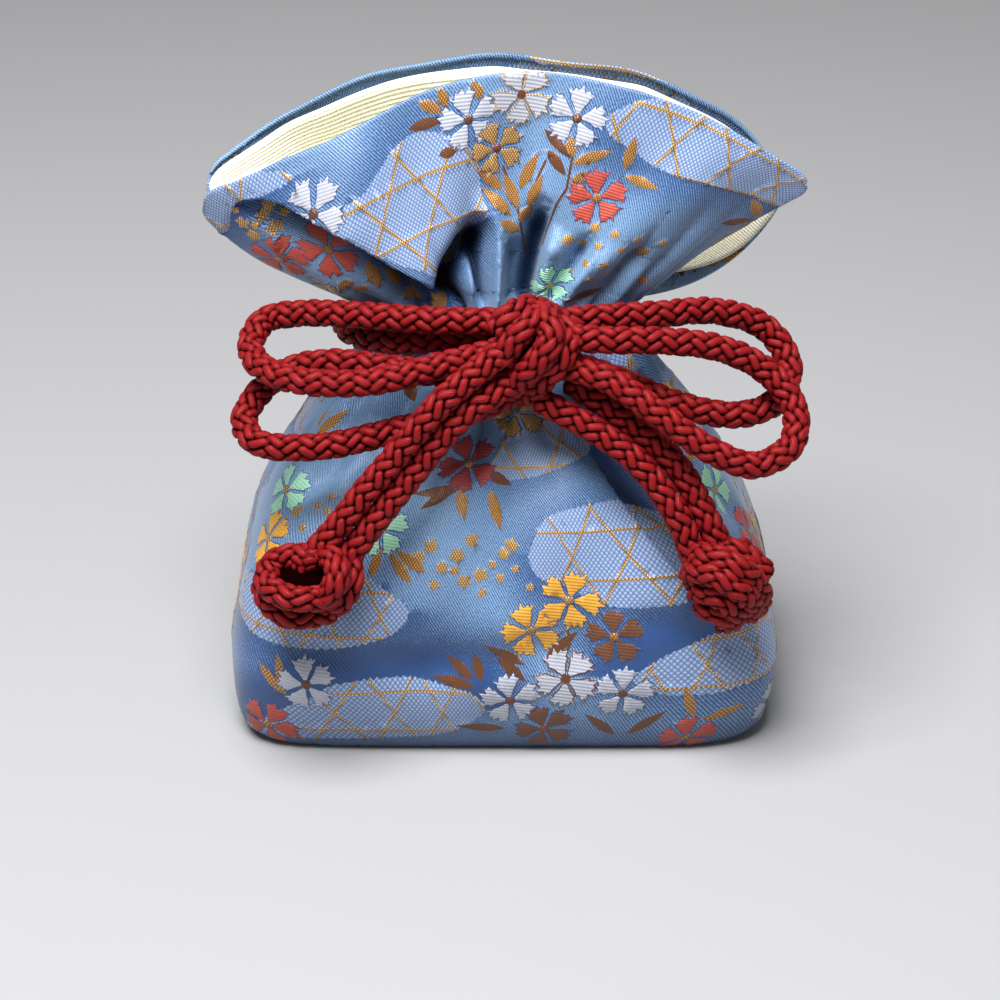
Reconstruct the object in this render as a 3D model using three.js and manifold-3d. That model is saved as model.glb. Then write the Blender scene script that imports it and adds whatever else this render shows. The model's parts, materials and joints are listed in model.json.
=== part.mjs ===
// A drawstring scent sachet: a lined brocade pouch on a flat foot, drawn in at a gathered neck, with
// its front and back flaps flared open above the cord channel and a double cord tied in a bow.
// Millimetres, +Z up, front towards -Y, origin at the middle of the foot.
import * as THREE from "three";
import { mergeVertices } from "three/addons/utils/BufferGeometryUtils.js";
import Module from "manifold-3d";

const wasm = await Module();
wasm.setup();

// Cloth
const BROCADE = 0.8; // thickness of the outer cloth
const LINING = 0.5; // thickness of the lining
const LAYER_GAP = 0.45; // clearance between two layers
const HEM = 1.6; // height of outer cloth that shows inside the rim, above the lining

// Body of the pouch: widths across X, depths across Y, heights above the foot
const FOOT_WIDTH = 68.6;
const FOOT_DEPTH = 43.4;
const HEEL_WIDTH = 72.4;
const HEEL_DEPTH = 47;
const HEEL_HEIGHT = 2.6;
const BELLY_WIDTH = 74.8;
const BELLY_DEPTH = 50.6;
const BELLY_HEIGHT = 13;
const CHEST_WIDTH = 63.5;
const CHEST_DEPTH = 45.5;
const CHEST_HEIGHT = 30;
const SHOULDER_WIDTH = 53.4;
const SHOULDER_DEPTH = 38;
const SHOULDER_HEIGHT = 38;
const THROAT_WIDTH = 41;
const THROAT_DEPTH = 27;
const THROAT_HEIGHT = 46;
const NECK_WIDTH = 32.6;
const NECK_DEPTH = 19.4;
const NECK_HEIGHT = 53;
const SLIT_WIDTH = 33;
const SLIT_DEPTH = 19.8;
const SLIT_HEIGHT = 57; // the side slits start here and part the two flaps
const FOOT_SQUARENESS = 7; // exponent of the foot's rounded rectangle
const NECK_SQUARENESS = 2; // the neck is an ellipse
const SQUARENESS_FALL = 1.6; // how fast the corners round off on the way up

// Gathers and folds
const PLEATS = 12; // gathers around the neck
const PLEAT_DEPTH = 1.7; // half the height of a gather, from valley to crest
const PLEAT_START = 34; // height where the gathers begin
const SAG_HEIGHT = 15.6; // level of the soft crease across the front
const SAG_DEPTH = 1.1;
const SAG_SPREAD = 2.4;

// Rims of the flaps, from the left tip over the top to the right tip: share of half the mouth, depth
// and height
const MOUTH_WIDTH = 80; // from tip to tip
const FRONT_RIM = [
  [-0.985, -5, 72],
  [-0.765, -8, 77.3],
  [-0.5425, -9, 81.2],
  [-0.225, -6, 86.9],
  [0.0475, -3.6, 88.7],
  [0.32, -4.2, 87.5],
  [0.6425, -5, 83.4],
  [0.84, -5, 78.9],
  [1.015, -4, 73.9],
];
const BACK_RIM = [
  [-0.98, 4, 72.6],
  [-0.7025, 7.5, 79.5],
  [-0.3275, 6.5, 86.2],
  [0.13, 1.8, 88.9],
  [0.4875, 3, 85.7],
  [0.775, 3.5, 79.9],
  [0.955, 3, 71.4],
];
// How a flap bends on its way up: the shares of its spread and of its height at the bend's control point
const FRONT_BEND = { spread: 0.62, height: 0.3 };
const BACK_BEND = { spread: 0.72, height: 0.14 };
const FLAP_BULGES = [
  // where a flap swells outwards, across from -1 at the left slit to 1 at the right slit
  { across: -0.5, spread: 0.3, depth: 8 },
  { across: 0.55, spread: 0.3, depth: 5 },
];
const FRONT_LIFTS = [
  // where a flap's bend is pulled up, or hangs so that the other flap's lining shows
  { across: -1, spread: 0.4, depth: -3 },
  { across: 1, spread: 0.4, depth: 5.5 },
];
const BACK_LIFTS = [{ across: 1, spread: 0.4, depth: -2.2 }];
const FRONT_FOLDS = [
  // the standing fold above the bow and the valleys beside it
  { across: -0.17, spread: 0.07, depth: -1.8 },
  { across: 0, spread: 0.08, depth: 1.6 },
  { across: 0.25, spread: 0.09, depth: -1.8 },
];

// Scent packet inside the lining
const PACKET_HEIGHT = 45;
const PACKET_DOME = 2;

// Cord: a round braid, drawn through the channel and tied in front of the neck
const CORD = 3.4;
const CORD_SIDES = 8;
const CORD_STEP = 2 * CORD;
const KNOT_GAP = 0.3; // between a knot and the strands that come out of it
const BOW_KNOT = { centre: [4.6, -18.2, 56.6], radii: [7.8, 5.2, 6.6] };
const END_KNOTS = {
  left_end_knot: { centre: [-25.4, -28.2, 27.6], radii: [6.6, 6.2, 6.2] },
  right_end_knot: { centre: [29.7, -26.6, 26.8], radii: [6.3, 6.2, 6.6] },
};
const STRANDS = {
  left_loop_upper: [
    [1, -17.4, 60],
    [-9, -16, 59.6],
    [-19.6, -12, 58.8],
    [-26.2, -9.2, 57.8],
    [-30.6, -8.9, 56.8],
    [-32.4, -12.4, 55.1],
    [-31, -17.4, 53.9],
    [-25.6, -21.9, 53.6],
    [-16.6, -23, 53.9],
    [-7.6, -21.4, 55.5],
    [1, -18.8, 56.8],
  ],
  left_loop_lower: [
    [1, -17, 53.4],
    [-6, -17, 52.6],
    [-13, -17.2, 53.2],
    [-22, -15.2, 53.4],
    [-28, -13.6, 51.4],
    [-31.6, -14.6, 48.6],
    [-33.2, -18.2, 46.2],
    [-31, -21.9, 44.9],
    [-23.1, -23, 44.9],
    [-12.9, -21.4, 46.6],
    [-5.2, -20, 48],
    [1.5, -19.2, 50.6],
  ],
  right_loop_upper: [
    [7, -17.4, 60],
    [13, -16.2, 60],
    [20.4, -14, 59.6],
    [28.1, -10.4, 58.6],
    [34.8, -8.8, 55.6],
    [37.8, -11.4, 51.6],
    [36.2, -15.4, 48.3],
    [31.1, -18, 47.2],
    [23.2, -18.3, 48.7],
    [15.5, -16.8, 51.5],
    [8, -15.8, 53.9],
  ],
  right_loop_lower: [
    [7, -21.2, 59.4],
    [14, -21.4, 59],
    [20.4, -20.1, 58.4],
    [28.3, -18.3, 56.6],
    [34.2, -18, 53.4],
    [37.8, -20.5, 49.4],
    [37.3, -24.2, 45.7],
    [32.6, -26.6, 43.9],
    [26.8, -26.6, 46],
    [19.6, -25.4, 51],
    [13.6, -23.4, 54.5],
    [7, -20.8, 55.4],
  ],
  left_tail_outer: [
    [1.5, -22.6, 59],
    [-7.2, -26.4, 52.8],
    [-10.6, -27, 48.9],
    [-13.8, -27.2, 44.8],
    [-17.2, -27.7, 40.8],
    [-20.2, -28.2, 36.8],
    [-26.2, -28.3, 29.5],
  ],
  left_tail_inner: [
    [2.8, -21.8, 54.2],
    [-3.4, -25, 51.3],
    [-7, -25.9, 48],
    [-10.3, -26.5, 43.8],
    [-14, -27.3, 39.2],
    [-17.1, -28.1, 35.2],
    [-22.6, -28.6, 27],
  ],
  right_tail_outer: [
    [8.6, -19.2, 52.8],
    [16.3, -21.2, 47.8],
    [20.8, -22.6, 44.4],
    [23.4, -23.4, 41.5],
    [25.3, -24.3, 38.3],
    [27.1, -25.4, 35],
    [30.2, -26.2, 28],
  ],
  right_tail_inner: [
    [4.6, -21.4, 51],
    [12.1, -23.2, 47.3],
    [17, -24.5, 44],
    [19.9, -25.3, 40.9],
    [21.7, -26.1, 38.4],
    [23.2, -26.6, 35.9],
    [26.4, -26.8, 27],
  ],
  left_neck_strand: [
    [-21, 0, 54.2],
    [-19.8, -6.2, 54.2],
    [-15, -11, 54.6],
    [-8, -13.3, 55.8],
    [0, -14.2, 57],
  ],
  right_neck_strand: [
    [21, 0, 54.2],
    [20.2, -6.2, 54.2],
    [17, -10.4, 54.6],
    [12.6, -12.6, 55.8],
    [8, -14, 57],
  ],
};

// Looks
const BLUE_BROCADE = { color: 0x5b86bf, roughness: 0.5, metalness: 0 };
const CREAM_LINING = { color: 0xf0eecd, roughness: 0.7, metalness: 0 };
const PAPER_PACKET = { color: 0xe9e2d0, roughness: 0.85, metalness: 0 };
const RED_BRAID = { color: 0x96191e, roughness: 0.6, metalness: 0 };

// Grid of the cloth
const HALF = 24; // columns from one side slit to the other
const AROUND = 2 * HALF;
const FOOT_RINGS = 2;
const BODY_ROWS = 12;
const FLAP_ROWS = 8;
const KNOT_GRID = [16, 11];
const SHARPEST_MITRE = 0.6; // least cosine that an edge is sharpened by

const point = (p) => new THREE.Vector3(...p);
const rimPoint = ([share, y, z]) => new THREE.Vector3((share * MOUTH_WIDTH) / 2, y, z);
const swell = (across, form) => form.depth * Math.exp(-(((across - form.across) / form.spread) ** 2));
const sumOf = (across, forms) => forms.reduce((sum, form) => sum + swell(across, form), 0);

// The body's outline as half width, half depth and height, from the foot's edge up to the slits.
const profile = new THREE.CatmullRomCurve3(
  [
    [FOOT_WIDTH, FOOT_DEPTH, 0],
    [HEEL_WIDTH, HEEL_DEPTH, HEEL_HEIGHT],
    [BELLY_WIDTH, BELLY_DEPTH, BELLY_HEIGHT],
    [CHEST_WIDTH, CHEST_DEPTH, CHEST_HEIGHT],
    [SHOULDER_WIDTH, SHOULDER_DEPTH, SHOULDER_HEIGHT],
    [THROAT_WIDTH, THROAT_DEPTH, THROAT_HEIGHT],
    [NECK_WIDTH, NECK_DEPTH, NECK_HEIGHT],
    [SLIT_WIDTH, SLIT_DEPTH, SLIT_HEIGHT],
  ].map(([width, depth, height]) => new THREE.Vector3(width / 2, depth / 2, height)),
);
const frontRim = new THREE.CatmullRomCurve3(FRONT_RIM.map(rimPoint));
const backRim = new THREE.CatmullRomCurve3(BACK_RIM.map(rimPoint));

// Column 0 is the left slit, HALF / 2 the middle of the front and HALF the right slit. Across a flap,
// -1 is the left slit and 1 the right slit.
const angleOf = (column) => Math.PI + (Math.PI * column) / HALF;
const acrossOf = (column, isFront) => (isFront ? (2 * column) / HALF - 1 : 3 - (2 * column) / HALF);

function ringPoint(station, column) {
  const angle = angleOf(column);
  const below = Math.max(1 - station.z / SLIT_HEIGHT, 0) ** SQUARENESS_FALL;
  const power = NECK_SQUARENESS + (FOOT_SQUARENESS - NECK_SQUARENESS) * below;
  const x = Math.abs(Math.cos(angle) / station.x) ** power;
  const y = Math.abs(Math.sin(angle) / station.y) ** power;
  const reach = (x + y) ** (-1 / power);
  return new THREE.Vector3(reach * Math.cos(angle), reach * Math.sin(angle), station.z);
}

const slitFoot = ringPoint(profile.getPoint(1), 0);
const hemShare = HEM / slitFoot.distanceTo(rimPoint(FRONT_RIM[0]));

// A flap rises from the neck and spreads to its rim on a bent path, swelling out on both halves.
function flapPoint(isFront, column, up) {
  const across = acrossOf(column, isFront);
  const rim = isFront ? frontRim : backRim;
  const from = ringPoint(profile.getPoint(1), column);
  const to = rim.getPointAt((across + 1) / 2);
  const outwards = isFront ? -1 : 1;
  const { spread, height } = isFront ? FRONT_BEND : BACK_BEND;
  const lift = sumOf(across, isFront ? FRONT_LIFTS : BACK_LIFTS);
  const control = new THREE.Vector3(
    from.x + spread * (to.x - from.x),
    (from.y + to.y) / 2 + outwards * sumOf(across, FLAP_BULGES),
    from.z + height * (to.z - from.z) + lift,
  );
  return new THREE.QuadraticBezierCurve3(from, control, to).getPoint(up);
}

// Height of the folds above the smooth cloth, along its outward normal.
function foldHeight(column, height, up, isFront) {
  const across = acrossOf(column, isFront);
  const gather = PLEAT_DEPTH * Math.cos(PLEATS * angleOf(column));
  const drawn = THREE.MathUtils.smoothstep(height, PLEAT_START, NECK_HEIGHT) * (1 - up) ** 2;
  const sag = SAG_DEPTH * Math.exp(-(((height - SAG_HEIGHT) / SAG_SPREAD) ** 2));
  const folds = isFront ? sumOf(across, FRONT_FOLDS) : 0;
  const standing = folds * Math.sin(Math.PI * up);
  return drawn * gather - (isFront ? sag * (1 - across * across) : 0) + standing;
}

// The cloth as one sheet: rings over the foot and the body, then the two flaps above the slits.
// The last row of a flap is its hem.
function clothSheet() {
  const spots = [{ at: new THREE.Vector3(), fold: 0 }];
  const rows = [];
  const stations = Array.from({ length: BODY_ROWS + 1 }, (_, row) => profile.getPoint(row / BODY_ROWS));
  const columns = Array.from({ length: AROUND }, (_, column) => column);
  for (let ring = 1; ring < FOOT_RINGS; ring++) {
    const share = ring / FOOT_RINGS;
    rows.push(columns.map((c) => addSpot(ringPoint(stations[0], c).multiplyScalar(share), 0)));
  }
  for (const station of stations) {
    const isFoot = station === stations[0];
    rows.push(
      columns.map((c) => {
        const fold = isFoot ? 0 : foldHeight(c, station.z, 0, c <= HALF);
        return addSpot(ringPoint(station, c), fold);
      }),
    );
  }
  const slit = rows[rows.length - 1];
  const front = [slit.slice(0, HALF + 1)];
  const back = [[...slit.slice(HALF), slit[0]]];
  for (let row = 1; row <= FLAP_ROWS; row++) {
    front.push(flapRow(true, row));
    back.push(flapRow(false, row));
  }
  return { spots, rows, front, back };

  function addSpot(at, fold) {
    return spots.push({ at, fold }) - 1;
  }

  function flapRow(isFront, row) {
    const up = row < FLAP_ROWS ? (row / (FLAP_ROWS - 1)) * (1 - hemShare) : 1;
    const first = isFront ? 0 : HALF;
    return Array.from({ length: HALF + 1 }, (_, k) =>
      addSpot(flapPoint(isFront, first + k, up), foldHeight(first + k, SLIT_HEIGHT, up, isFront)),
    );
  }
}

// Triangles of a sheet, all facing out of the pouch.
function sheetFaces({ rows, front, back }) {
  const faces = [];
  const loop = (row) => [...row, row[0]];
  loop(rows[0]).forEach((spot, k, ring) => k && faces.push([0, spot, ring[k - 1]]));
  const band = (low, high) => {
    for (let k = 1; k < low.length; k++) {
      faces.push([low[k - 1], low[k], high[k]], [low[k - 1], high[k], high[k - 1]]);
    }
  };
  rows.slice(1).forEach((row, k) => band(loop(rows[k]), loop(row)));
  front.slice(1).forEach((row, k) => band(front[k], row));
  back.slice(1).forEach((row, k) => band(back[k], row));
  return faces;
}

// The sheet's free edge: over both flaps, and down each slit.
function sheetEdge({ front, back }) {
  const over = (flap) => [
    ...flap.slice(0, -1).map((row) => row[0]),
    ...flap[flap.length - 1],
    ...flap.slice(1, -1).map((row) => row[HALF]).reverse(),
  ];
  return [...over(front), ...over(back)];
}

function geometryOf(points, faces) {
  const geometry = new THREE.BufferGeometry();
  geometry.setAttribute("position", new THREE.Float32BufferAttribute(points.flatMap((p) => p.toArray()), 3));
  geometry.setIndex(faces.flat());
  geometry.computeVertexNormals();
  return geometry;
}

// A geometry that keeps only the points its faces use.
function usedGeometry(points, faces) {
  const used = [...new Set(faces.flat())];
  const renumber = new Map(used.map((spot, k) => [spot, k]));
  return geometryOf(used.map((spot) => points[spot]), faces.map((face) => face.map((s) => renumber.get(s))));
}

// The smooth sheet's outward direction at each spot, longer at an edge so that every face moves evenly.
function mitres(sheet, faces) {
  const smooth = geometryOf(sheet.spots.map((spot) => spot.at), faces);
  const turned = smooth.getAttribute("normal");
  const normals = sheet.spots.map((_, k) => new THREE.Vector3().fromBufferAttribute(turned, k));
  const least = sheet.spots.map(() => 1);
  for (const face of faces) {
    const [a, b, c] = face.map((spot) => sheet.spots[spot].at);
    const flat = new THREE.Triangle(a, b, c).getNormal(new THREE.Vector3());
    face.forEach((spot) => (least[spot] = Math.min(least[spot], flat.dot(normals[spot]))));
  }
  return normals.map((normal, k) => normal.divideScalar(Math.max(least[k], SHARPEST_MITRE)));
}

// The sheet moved inwards by a depth, with its folds.
function layerPoints(sheet, depth) {
  const directions = mitres(sheet, sheetFaces(sheet));
  return sheet.spots.map(({ at, fold }, k) => at.clone().addScaledVector(directions[k], fold - depth));
}

// A layer of cloth between two depths, closed along its free edge.
function clothLayer(depth, thickness, hasHem) {
  const whole = clothSheet();
  const count = whole.spots.length;
  const flap = (rows) => (hasHem ? rows : rows.slice(0, -1));
  const sheet = { ...whole, front: flap(whole.front), back: flap(whole.back) };
  const outside = sheetFaces(sheet);
  const inside = outside.map(([a, b, c]) => [a + count, c + count, b + count]);
  const edge = sheetEdge(sheet);
  const rim = edge.flatMap((a, k) => {
    const b = edge[(k + 1) % edge.length];
    return [
      [a, b, b + count],
      [a, b + count, a + count],
    ];
  });
  const points = [...layerPoints(whole, depth), ...layerPoints(whole, depth + thickness)];
  return usedGeometry(points, [...outside, ...inside, ...rim]);
}

// The packet fills the lining up to its height and closes in a low dome.
function packetGeometry(depth) {
  const sheet = clothSheet();
  const kept = sheet.rows.filter((row) => sheet.spots[row[0]].at.z < PACKET_HEIGHT);
  const top = kept[kept.length - 1];
  const points = layerPoints(sheet, depth);
  const crown = points.push(new THREE.Vector3(0, 0, PACKET_HEIGHT + PACKET_DOME)) - 1;
  const faces = sheetFaces({ rows: kept, front: [], back: [] });
  top.forEach((spot, k) => faces.push([spot, top[(k + 1) % AROUND], crown]));
  return usedGeometry(points, faces);
}

const solidOf = (geometry) => {
  const bare = geometry.clone();
  ["normal", "uv"].forEach((name) => bare.deleteAttribute(name));
  const merged = mergeVertices(bare);
  const vertProperties = merged.getAttribute("position").array;
  const triVerts = new Uint32Array(merged.index.array);
  return new wasm.Manifold(new wasm.Mesh({ numProp: 3, vertProperties, triVerts }));
};

const geometryFrom = (solid) => {
  const { vertProperties, triVerts } = solid.getMesh();
  const geometry = new THREE.BufferGeometry();
  geometry.setAttribute("position", new THREE.BufferAttribute(vertProperties, 3));
  geometry.setIndex(new THREE.BufferAttribute(triVerts, 1));
  geometry.computeVertexNormals();
  return geometry;
};

function knotGeometry({ centre, radii }, growth = 0) {
  const ball = new THREE.SphereGeometry(1, ...KNOT_GRID);
  ball.scale(...radii.map((radius) => radius + growth));
  return ball.translate(...centre);
}

// A strand along its route, trimmed where it goes into a knot.
function strandGeometry(route, knots) {
  const path = new THREE.CatmullRomCurve3(route.map(point));
  const section = new THREE.Shape(
    Array.from({ length: CORD_SIDES }, (_, k) => {
      const angle = (2 * Math.PI * k) / CORD_SIDES;
      return new THREE.Vector2(Math.cos(angle), Math.sin(angle)).multiplyScalar(CORD / 2);
    }),
  );
  const steps = Math.round(path.getLength() / CORD_STEP);
  const tube = new THREE.ExtrudeGeometry(section, { steps, extrudePath: path, bevelEnabled: false });
  const trims = knots.map((knot) => solidOf(knotGeometry(knot, KNOT_GAP)));
  return geometryFrom(trims.reduce((strand, trim) => strand.subtract(trim), solidOf(tube)));
}

const group = new THREE.Group();

function addPart(name, geometry, look) {
  const mesh = new THREE.Mesh(geometry, new THREE.MeshStandardMaterial(look));
  mesh.name = name;
  group.add(mesh);
}

const liningDepth = BROCADE + LAYER_GAP;
const packetDepth = liningDepth + LINING + LAYER_GAP;

addPart("outer_bag", clothLayer(0, BROCADE, true), BLUE_BROCADE);
addPart("lining", clothLayer(liningDepth, LINING, false), CREAM_LINING);
addPart("scent_packet", packetGeometry(packetDepth), PAPER_PACKET);

addPart("bow_knot", knotGeometry(BOW_KNOT), RED_BRAID);
for (const [name, knot] of Object.entries(END_KNOTS)) {
  addPart(name, knotGeometry(knot), RED_BRAID);
}
for (const [name, route] of Object.entries(STRANDS)) {
  addPart(name, strandGeometry(route, [BOW_KNOT, ...Object.values(END_KNOTS)]), RED_BRAID);
}

export default group;
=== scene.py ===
"""A drawstring scent sachet of blue brocade: a lined pouch drawn in by a braided cord tied in a bow."""

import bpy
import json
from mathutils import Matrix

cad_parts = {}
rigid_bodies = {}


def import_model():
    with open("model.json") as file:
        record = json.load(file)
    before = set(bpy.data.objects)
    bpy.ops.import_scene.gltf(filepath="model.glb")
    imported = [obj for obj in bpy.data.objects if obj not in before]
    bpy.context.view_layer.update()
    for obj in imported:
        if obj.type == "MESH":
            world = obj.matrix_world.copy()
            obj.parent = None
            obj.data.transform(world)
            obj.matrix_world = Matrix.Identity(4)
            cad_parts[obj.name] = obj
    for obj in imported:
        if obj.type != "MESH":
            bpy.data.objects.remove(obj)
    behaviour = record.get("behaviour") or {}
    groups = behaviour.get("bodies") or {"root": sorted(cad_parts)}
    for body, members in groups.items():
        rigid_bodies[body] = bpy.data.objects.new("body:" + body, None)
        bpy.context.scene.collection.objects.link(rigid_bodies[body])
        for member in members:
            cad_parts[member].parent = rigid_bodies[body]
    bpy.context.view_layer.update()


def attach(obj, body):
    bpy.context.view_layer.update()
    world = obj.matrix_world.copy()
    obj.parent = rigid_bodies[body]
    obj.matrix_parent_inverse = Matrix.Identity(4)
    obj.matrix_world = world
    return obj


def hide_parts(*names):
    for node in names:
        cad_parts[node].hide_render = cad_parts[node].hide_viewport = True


bl_info = {
    "name": "Scent sachet",
    "version": (1, 0, 0),
    "blender": (4, 5, 0),
    "location": "View3D > Sidebar > Sachet",
    "description": "Dresses a drawstring scent sachet in brocade, lining and braided cord",
    "category": "Object",
}

import json
import math

import bpy
import numpy as np
from bpy.props import FloatProperty, FloatVectorProperty, IntProperty, PointerProperty
from mathutils import Vector
from mathutils.geometry import delaunay_2d_cdt
from mathutils.kdtree import KDTree

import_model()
MM = 0.001

# Body of the pouch: full width, full depth and height of each station, from the foot's edge to the slits
STATIONS = (
    (0.0686, 0.0434, 0.0),
    (0.0724, 0.047, 0.0026),
    (0.0748, 0.0506, 0.013),
    (0.0635, 0.0455, 0.03),
    (0.0534, 0.038, 0.038),
    (0.041, 0.027, 0.046),
    (0.0326, 0.0194, 0.053),
    (0.033, 0.0198, 0.057),
)
FOOT_SQUARENESS = 7
NECK_SQUARENESS = 2
SQUARENESS_FALL = 1.6
LEFT_DRAW = (0.0011, 0.014, 0.013)  # depth, height and spread of the place where the left is drawn in
LEFT_DRAW_FROM = (0.018, 0.036)  # where that starts and is full, out from the middle

# Rims of the flaps, from the left tip over the top to the right tip
FRONT_RIM = (
    (-0.0402, -0.005, 0.0718),
    (-0.0306, -0.008, 0.0773),
    (-0.0217, -0.009, 0.0812),
    (-0.009, -0.006, 0.0869),
    (0.0019, -0.0036, 0.0887),
    (0.0128, -0.0042, 0.0875),
    (0.0257, -0.005, 0.0834),
    (0.0336, -0.005, 0.0789),
    (0.0414, -0.004, 0.0736),
)
BACK_RIM = (
    (-0.04, 0.004, 0.0723),
    (-0.0281, 0.0075, 0.0795),
    (-0.0131, 0.0065, 0.0862),
    (0.0052, 0.0018, 0.0889),
    (0.0195, 0.003, 0.0857),
    (0.031, 0.0035, 0.0799),
    (0.0382, 0.003, 0.0714),
)
FRONT_BEND = (0.62, 0.3)  # shares of the spread and of the height at the bend of a flap
BACK_BEND = (0.72, 0.14)
FLAP_BULGES = ((-0.5, 0.3, 0.008), (0.55, 0.3, 0.005))  # place across, spread and depth
FRONT_LIFTS = ((-1, 0.4, -0.003), (1, 0.4, 0.0055))  # where a flap's bend is pulled up or hangs
BACK_LIFTS = ((1, 0.4, -0.0022),)

# Flat cloth: two panels sewn at the sides, each from one side slit to the other
PANEL = 0.116  # width of a panel
BODY = 0.064  # from the foot's edge up to the slits
FLAP = 0.04  # from the slits up to the rim
PANEL_HEIGHT = BODY + FLAP
CORNER = 0.005  # rounding of a flap's tips
ROLL = 0.0003  # radius of a turned edge
TURNED = 0.0013  # cloth taken up by a turned rim and the strip behind it
TURNED_SIDE = 0.004  # the same at the foot of a slit
ROLL_ROWS = (-0.0006, 0.0, 0.00025, 0.0005, 0.00075, 0.00096)  # lines of points around a turned edge
UNDER = 0.004  # cloth turned under the foot
UNDER_REACH = 0.022  # over which the turned cloth would run to the middle of the foot
LINING_STEP = 0.0011
LINING_EDGES = (0.0004, 0.0007)  # of the lining, from the foot's edge and from the rim
LINING_FLOOR = 0.0008  # lowest that the lining lies
LINING_ROOM = (0.0024, 0.0705)  # depth of pleats that leave no room for it, and how far up on the cloth
RAISED = 0.00012  # silk and gold yarn above the ground

# Cord: routes of the free strands, from the bow knot outwards
LOOPS = {
    "left_loop_upper": (
        (0.001, -0.0174, 0.06), (-0.009, -0.016, 0.0596), (-0.0196, -0.012, 0.0588),
        (-0.0262, -0.0092, 0.0578), (-0.0306, -0.0089, 0.0568), (-0.0324, -0.0124, 0.0551),
        (-0.031, -0.0174, 0.0539), (-0.0256, -0.0219, 0.0536), (-0.0166, -0.023, 0.0539),
        (-0.0076, -0.0214, 0.0555), (0.001, -0.0188, 0.0568),
    ),
    "left_loop_lower": (
        (0.001, -0.017, 0.0534), (-0.006, -0.017, 0.0526), (-0.013, -0.0172, 0.0532),
        (-0.022, -0.0152, 0.0534), (-0.028, -0.0136, 0.0514), (-0.0316, -0.0146, 0.0486),
        (-0.0332, -0.0182, 0.0462), (-0.031, -0.0219, 0.0449), (-0.0231, -0.023, 0.0449),
        (-0.0129, -0.0214, 0.0466), (-0.0052, -0.02, 0.048), (0.0015, -0.0192, 0.0506),
    ),
    "right_loop_upper": (
        (0.007, -0.0174, 0.06), (0.013, -0.0162, 0.06), (0.0204, -0.014, 0.0596),
        (0.0281, -0.0104, 0.0586), (0.0348, -0.0088, 0.0556), (0.0378, -0.0114, 0.0516),
        (0.0362, -0.0154, 0.0483), (0.0311, -0.018, 0.0472), (0.0232, -0.0183, 0.0487),
        (0.0155, -0.0168, 0.0515), (0.008, -0.0158, 0.0539),
    ),
    "right_loop_lower": (
        (0.007, -0.0212, 0.0594), (0.014, -0.0214, 0.059), (0.0204, -0.0201, 0.0584),
        (0.0283, -0.0183, 0.0566), (0.0342, -0.018, 0.0534), (0.0378, -0.0205, 0.0494),
        (0.0373, -0.0242, 0.0457), (0.0326, -0.0266, 0.0439), (0.0268, -0.0266, 0.046),
        (0.0196, -0.0254, 0.051), (0.0136, -0.0234, 0.0545), (0.007, -0.0208, 0.0554),
    ),
}
TAILS = {
    "left_tail_outer": (
        (0.0015, -0.0226, 0.059), (-0.0072, -0.0264, 0.0528), (-0.0106, -0.027, 0.0489),
        (-0.0138, -0.0272, 0.0448), (-0.0172, -0.0277, 0.0408), (-0.0202, -0.0282, 0.0368),
        (-0.0262, -0.0283, 0.0295),
    ),
    "left_tail_inner": (
        (0.0028, -0.0218, 0.0542), (-0.0034, -0.025, 0.0513), (-0.007, -0.0259, 0.048),
        (-0.0103, -0.0265, 0.0438), (-0.014, -0.0273, 0.0392), (-0.0171, -0.0281, 0.0352),
        (-0.0226, -0.0286, 0.027),
    ),
    "right_tail_outer": (
        (0.0086, -0.0192, 0.0528), (0.0163, -0.0212, 0.0478), (0.0208, -0.0226, 0.0444),
        (0.0234, -0.0234, 0.0415), (0.0253, -0.0243, 0.0383), (0.0271, -0.0254, 0.035),
        (0.0302, -0.0262, 0.028),
    ),
    "right_tail_inner": (
        (0.0046, -0.0214, 0.051), (0.0121, -0.0232, 0.0473), (0.017, -0.0245, 0.044),
        (0.0199, -0.0253, 0.0409), (0.0217, -0.0261, 0.0384), (0.0232, -0.0266, 0.0359),
        (0.0264, -0.0268, 0.027),
    ),
}
NECK_STRANDS = {
    "left_neck_strand": (
        (-0.021, 0.0, 0.0542), (-0.0198, -0.0062, 0.0542), (-0.015, -0.011, 0.0546),
        (-0.008, -0.0133, 0.0558), (0.0, -0.0142, 0.057),
    ),
    "right_neck_strand": (
        (0.021, 0.0, 0.0542), (0.0202, -0.0062, 0.0542), (0.017, -0.0104, 0.0546),
        (0.0126, -0.0126, 0.0558), (0.008, -0.014, 0.057),
    ),
}
BOW_KNOT = (0.0046, -0.0182, 0.0566)
BOW_CORE = (0.005, 0.0036, 0.0042)  # half sizes of the cord hidden in the knot
END_CORE = (0.0036, 0.003, 0.0036)
END_GIRTH = 0.95  # share of the cord's thickness where it is pulled tight
TURN_SHIFT = 0.0011  # of the braid from one turn to the next
BOW_TURNS = (
    # in millimetres, like the turns of the end knots
    ((-0.8, -22.6, 60.5), (0.9, -22.4, 62.4), (2.9, -20.2, 62.8), (4.9, -17.2, 61.5),
     (6.0, -14.1, 59.6)),
    ((-0.1, -22.9, 56.6), (1.5, -23.8, 59.6), (3.2, -23.2, 61.7), (5.2, -20.6, 62.0),
     (6.9, -17.2, 60.5)),
    ((3.6, -18.5, 61.7), (5.6, -21.9, 62.1), (6.5, -23.9, 61.0), (5.6, -24.8, 58.7),
     (3.6, -24.3, 56.0), (1.8, -21.9, 53.2), (0.9, -18.0, 50.7)),
    ((6.0, -15.9, 60.4), (7.8, -19.6, 60.4), (8.5, -22.0, 59.2), (7.6, -23.4, 57.2),
     (5.6, -23.1, 54.5), (3.8, -20.5, 51.7), (2.6, -16.3, 49.4)),
)
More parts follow.
